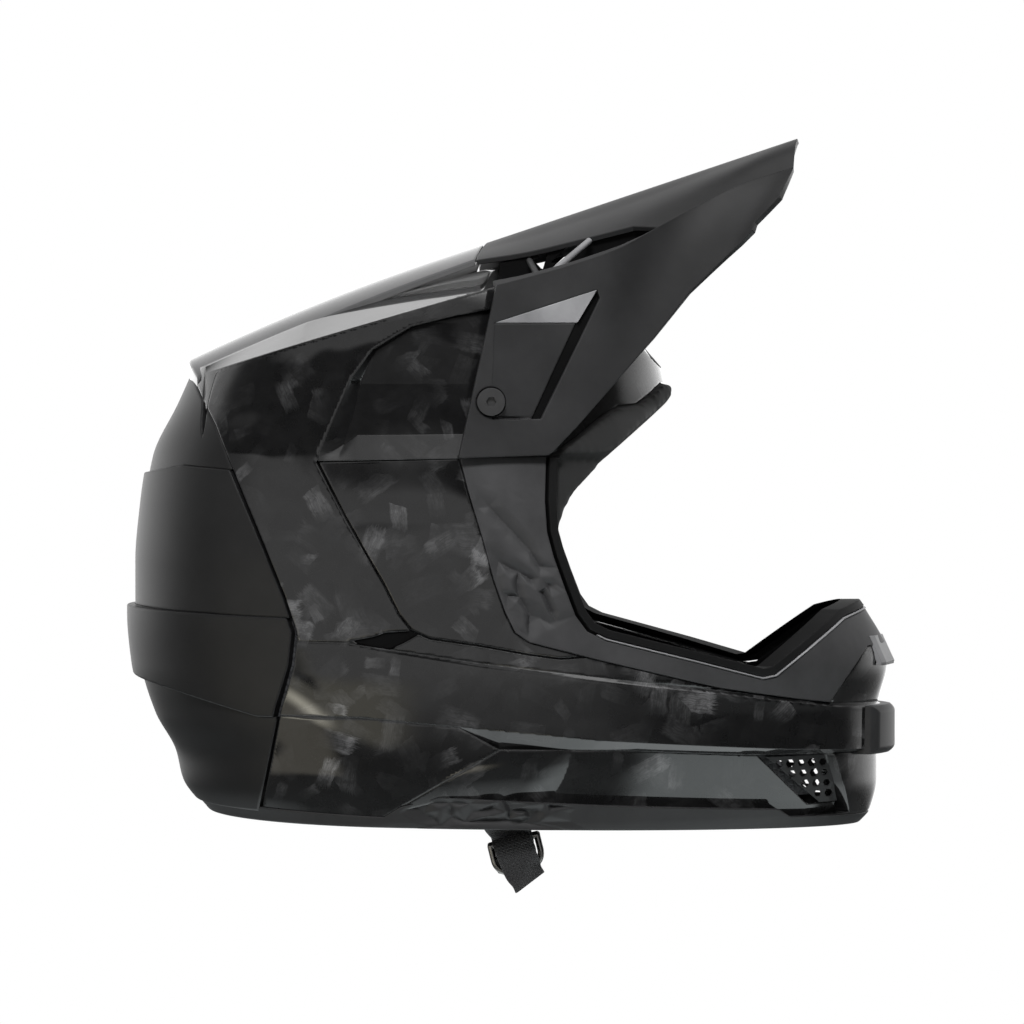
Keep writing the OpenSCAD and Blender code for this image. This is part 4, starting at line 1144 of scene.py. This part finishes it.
def cheek_seams(c):
    x, z = c[:, 0], c[:, 2]
    ring = np.abs(CHEEK_RING(x, z))
    bars = np.minimum(*(np.abs(z + height + 0.2 * (x - 45)) for height in (50, 72)))
    face = ease((80 - np.abs(c[:, 1])) / 8)
    return face * np.maximum(channel(ring, 1.8, 1.6), channel(bars, 1.8, 1.4) * (ring > 2))


def liner_seams(c):
    turn = np.degrees(np.arctan2(c[:, 1], c[:, 0]))
    lines = np.abs((turn + 15) % 30 - 15) * 1.4
    band = np.abs(c[:, 2] - 44)
    return np.maximum(channel(lines, 2.2, 1.2) * (c[:, 2] < 95), channel(band, 2.0, 1.0))


def roll_seams(c):
    return np.maximum(channel(np.abs(c[:, 2] + 70), 2, 1.3), channel((c[:, 1] + 8) % 16 - 8, 2, 1.0))


for hand in ("left", "right"):
    soft_piece("cheek_cushion_" + hand, "cheek_pad_" + hand, 0.0035, 0.0012, PAD_CLOTH, cheek_seams)
soft_piece("head_liner", "comfort_liner", 0.0030, 0.0006, PAD_CLOTH, liner_seams, swell=1.0, cap=0.0012)
soft_piece("nape_roll", "neck_roll", 0.0030, 0.0008, PAD_CLOTH, roll_seams, swell=1.2, cap=0.002)
soft_piece("brow_pad", "brow_trim", 0.0022, 0.0003, TRIM_CLOTH, None, swell=0.6, cap=0.0008)

# Webbing
WEB_W, WEB_T = 18.0, 1.6
RING = np.array([54.7, -66.0, -128.5])
TILT = math.radians(14)
ACROSS, LEAN = (1, 0, 0), (math.cos(TILT), 0, math.sin(TILT))
STEEP, TURNED = (0.85, 0, 0.5), (0.8, 0.5, 0.3)
ANCHOR_Y = float(width_at(np.array(62.0), np.array(-104.0))) - 3.3 - 4 - 2.2
WEB_Y = ANCHOR_Y - WEB_T / 2 - 0.1


def lying(width, *points):
    """Points of a strap's path with the direction that its width has there."""
    return [(p, width) for p in points]


LEFT_PATH = lying(
    ACROSS, (48, WEB_Y, -89), (48, WEB_Y, -110), (49, WEB_Y - 4, -121), (51, 70, -134), (54, 42, -144), (55, 12, -148),
    (56, -20, -148),
) + lying(
    LEAN, (56.5, -44, -143), (56.4, -57, -137.5), (56.3, -63, -135), (56.3, -73, -134.6), (56.1, -76.5, -133),
    (54.4, -78.4, -129), (53.4, -80.4, -126.2), (54, -82.6, -128), (55.4, -83, -132), (58, -82.6, -138.5),
) + lying(TURNED, (60.5, -81, -143.5), (62.3, -80, -147))
RIGHT_PATH = (
    lying(ACROSS, (48, -WEB_Y, -89), (48, -WEB_Y, -108)) + lying(STEEP, (48.5, 3 - WEB_Y, -116))
    + lying(LEAN, (51, -79.5, -121.5), (53.6, -74.4, -124.8), (54.3, -72.4, -126.3))
)


def ribbon(path, name, steps=8):
    """A webbing ribbon with rounded edges along a smooth path, with its weave laid out in millimetres."""
    pts, dirs = (np.array(v, float) for v in zip(*path))
    n = len(pts)
    t = np.linspace(0, n - 1, (n - 1) * steps + 1)
    w = catmull(t, n)
    c, d = w @ pts, w @ dirs
    tan = np.gradient(c, axis=0)
    tan /= np.linalg.norm(tan, axis=1)[:, None]
    d -= tan * (d * tan).sum(1)[:, None]
    d /= np.linalg.norm(d, axis=1)[:, None]
    nrm = np.cross(tan, d)
    run = np.r_[0, np.cumsum(np.linalg.norm(np.diff(c, axis=0), axis=1))]
    us = np.array([-1, -0.96, -0.88, -0.5, 0, 0.5, 0.88, 0.96, 1.0])
    ht = np.array([0.35, 0.8, 1, 1, 1, 1, 1, 0.8, 0.35])
    loop = [(u, h) for u, h in zip(us, ht)] + [(u, -h) for u, h in zip(us[::-1], ht)]
    m = len(loop)
    V, UV = [], []
    for i in range(len(t)):
        for u, h in loop:
            V.append(c[i] + d[i] * u * WEB_W / 2 + nrm[i] * h * WEB_T / 2)
            UV.append((u * WEB_W / 2, run[i]))
    F = []
    for i in range(len(t) - 1):
        for k in range(m):
            a, b = i * m + k, i * m + (k + 1) % m
            F.append((a, b, b + m, a + m))
    F += [tuple(range(m))[::-1], tuple((len(t) - 1) * m + k for k in range(m))]
    me = bpy.data.meshes.new(name)
    me.from_pydata((np.array(V) * MM).tolist(), [], F)
    layer = me.uv_layers.new(name="UVMap")
    for lp in me.loops:
        layer.data[lp.index].uv = UV[lp.vertex_index]
    me.shade_smooth()
    me.set_sharp_from_angle(angle=math.radians(50))
    bm = bmesh.new()
    bm.from_mesh(me)
    bmesh.ops.recalc_face_normals(bm, faces=bm.faces)
    bm.to_mesh(me)
    bm.free()
    return add_object(name, me)


def ring_path():
    """The short strap's sewn loop round the bars of both rings."""
    r, pitch = 1.5 + 0.4 + WEB_T / 2, 4.5
    pts = [(-pitch * k / 4, r) for k in range(4)]
    pts += [(-pitch - r * math.sin(a), r * math.cos(a)) for a in np.linspace(0, math.pi, 13)]
    pts += [(-pitch + pitch * k / 4, -r) for k in range(1, 4)]
    pts += [(r * math.sin(a), -r * math.cos(a)) for a in np.linspace(0, math.pi, 13)]
    lean = np.array(LEAN)
    up = np.array([-math.sin(TILT), 0, math.cos(TILT)])
    return [(RING + np.array([0, y, 0]) + up * z, lean) for y, z in pts]


stand_for(ribbon(LEFT_PATH, "long_strap"), WEBBING, "webbing", "strap_left")
stand_for(ribbon(RIGHT_PATH, "short_strap"), WEBBING, "webbing", "strap_right")
stand_for(ribbon(ring_path(), "ring_loop", 3), WEBBING, "webbing")

# Studio
scene = bpy.context.scene


# What gloss reflects besides the grey room: azimuth from the right side towards the front and elevation,
# each as from, to and softness in degrees, then the colour in thirds of full white
CARDS = [
    ((-180, -66, 14), (-30, 60, 10), (0.08, 0.08, 0.08)),
    ((-110, 20, 5), (10.9, 18.2, 0.5), (0.003, 0.003, 0.003)),
    ((32, 105, 8), (-14, 32, 4), (0.012, 0.012, 0.012)),
    ((-70, 0, 7), (-15, -8, 1.0), (0.36, 0.345, 0.29)),
    ((-70, -25, 5), (-27, -14, 1.5), (0.34, 0.32, 0.27)),
    ((-45, -24, 7), (-14.6, -12.8, 1.3), (2.2, 2.1, 1.75)),
    ((-40, -26, 4), (-10, -8.2, 0.8), (0.03, 0.03, 0.028)),
    ((14, 22, 4), (-36, -30, 2.5), (1.0, 0.93, 0.75)),
    ((41, 90, 4), (-80, -19, 4), (0.62, 0.67, 0.675)),
    ((30, 62, 6), (40, 68, 6), (1.2, 1.2, 1.2)),
]


def studio(owner, low, shader, output):
    """Cards and flags for gloss, a soft dome for everything else, plain white to the camera."""
    n = Nodes(owner)
    if low:
        toward = n.vec("SCALE", n.new("NewGeometry").outputs["Incoming"], scale=-1.0)
    else:
        toward = n.new("TexCoord").outputs["Generated"]
    drift = n.new("TexNoise", Vector=toward, Scale=3.5, Detail=1.0).outputs["Color"]
    drift = n.xyz(n.vec("SUBTRACT", drift, (0.5, 0.5, 0.5)))
    x, y, z = n.xyz(toward)
    turn = n.times(n.math("ARCTAN2", x, n.times(y, -1.0)), 57.3)
    rise = n.times(n.math("ARCSINE", z), 57.3)
    turn = n.scaled(drift["X"], 7.0, turn)
    rise = n.scaled(drift["Y"], 1.4, rise)
    rise = n.scaled(n.math("MINIMUM", n.math("ADD", turn, 24.0), 0.0), 0.09, rise)
    steps = [
        (-90, 0.75), (-62, 0.62), (-52, 0.3), (-44, 0.05), (-17, 0.03), (-12, 0.14), (-7, 0.26), (0, 0.27), (17, 0.25),
        (30, 0.22), (50, 0.25), (70, 0.42), (90, 0.6),
    ]
    room = n.ramp(n.scaled(rise, 1 / 180, 0.5), [
        ((e + 90) / 180, (v, v * (1.06 if e < -20 else 1), v * (1.07 if e < -20 else 1))) for e, v in steps
    ])
    behind = n.times(n.smooth(y, 0.1, 0.6), n.smooth(z, -0.25, 0.0))
    paper = n.ramp(z, [(0.0, 0.6), (0.15, 0.5), (0.35, 0.27), (0.6, 0.14), (0.85, 0.06)])
    room = n.mix(behind, room, paper)
    for (a0, a1, sa), (e0, e1, se), colour in CARDS:
        cover = 1.0
        for v, v0, v1, soft in ((turn, a0, a1, sa), (rise, e0, e1, se)):
            cover = n.times(cover, n.smooth(v, v0 - soft, v0 + soft))
            cover = n.times(cover, n.smooth(v, v1 + soft, v1 - soft))
        room = n.mix(n.times(cover, n.smooth(y, 0.35, 0.05)), room, (*colour, 1))
    room = n.vec("SCALE", room, scale=3.0)
    dome = [(0.0, (0.13, 0.136, 0.14)), (0.3, 0.09), (0.5, 0.09), (0.7, 0.16), (1.0, 0.25)]
    dome = n.ramp(n.scaled(z, 0.5, 0.5), dome)
    path = n.new("LightPath")
    seen_plain = n.math("MAXIMUM", path.outputs["Is Camera Ray"], path.outputs["Is Transmission Ray"])
    light = n.mix(path.outputs["Is Glossy Ray"], dome, room)
    return n.show(shader, output, Color=n.mix(seen_plain, light, (1, 1, 1, 1)))


scene.world = studio(bpy.data.worlds.new("studio"), False, "Background", "OutputWorld")

FLOOR_Z, FLOOR_HALF = -0.156, 12.0
floor_me = bpy.data.meshes.new("floor")
corners = [(a * FLOOR_HALF, b * FLOOR_HALF, FLOOR_Z) for a, b in ((-1, -1), (1, -1), (1, 1), (-1, 1))]
floor_me.from_pydata(corners, [], [(0, 1, 2, 3)])
floor = add_object("floor", floor_me)
dress(floor, studio(bpy.data.materials.new("floor_white"), True, "Emission", "OutputMaterial"))


def area(name, place, target, size, power):
    """A square soft light that gloss doesn't see: the cards do that."""
    light = bpy.data.lights.new(name, "AREA")
    light.shape = "RECTANGLE"
    light.size = light.size_y = size
    light.energy = power
    o = add_object(name, light)
    o.location = place
    o.rotation_euler = (Vector(target) - Vector(place)).to_track_quat("-Z", "Y").to_euler()
    o.visible_glossy = False
    return o


area("top_box", (0.3, -0.3, 1.6), (0.05, 0, 0), 1.2, 3)
area("key", (-0.1, -1.55, 1.35), (0.08, -0.08, 0.0), 0.4, 36)
area("rear_fill", (-1.5, -1.25, 0.6), (-0.02, -0.08, 0.0), 0.8, 3)
area("left_fill", (-0.4, 1.9, 1.0), (0.05, 0, 0.0), 1.0, 8)

# Camera
cam_data = bpy.data.cameras.new("camera")
scene.camera = camera = add_object("camera", cam_data)
FOCUS = CAMERA_FAR / PIXEL
cam_data.sensor_width = 36
cam_data.lens = 36 * FOCUS / 1024
cam_data.clip_start, cam_data.clip_end = 0.05, 60
camera.location = (CAMERA_X * MM, -CAMERA_FAR * MM, CAMERA_Z * MM)
down, left = math.atan(92 / FOCUS), math.atan(11 / FOCUS)
camera.rotation_euler = (math.pi / 2 - down, 0, left)

scene.render.engine = "CYCLES"
scene.cycles.samples = 96
scene.cycles.use_denoising = True
scene.cycles.max_bounces = 6
scene.view_settings.view_transform = "Standard"
scene.view_settings.look = "None"
scene.render.resolution_x = scene.render.resolution_y = 1024
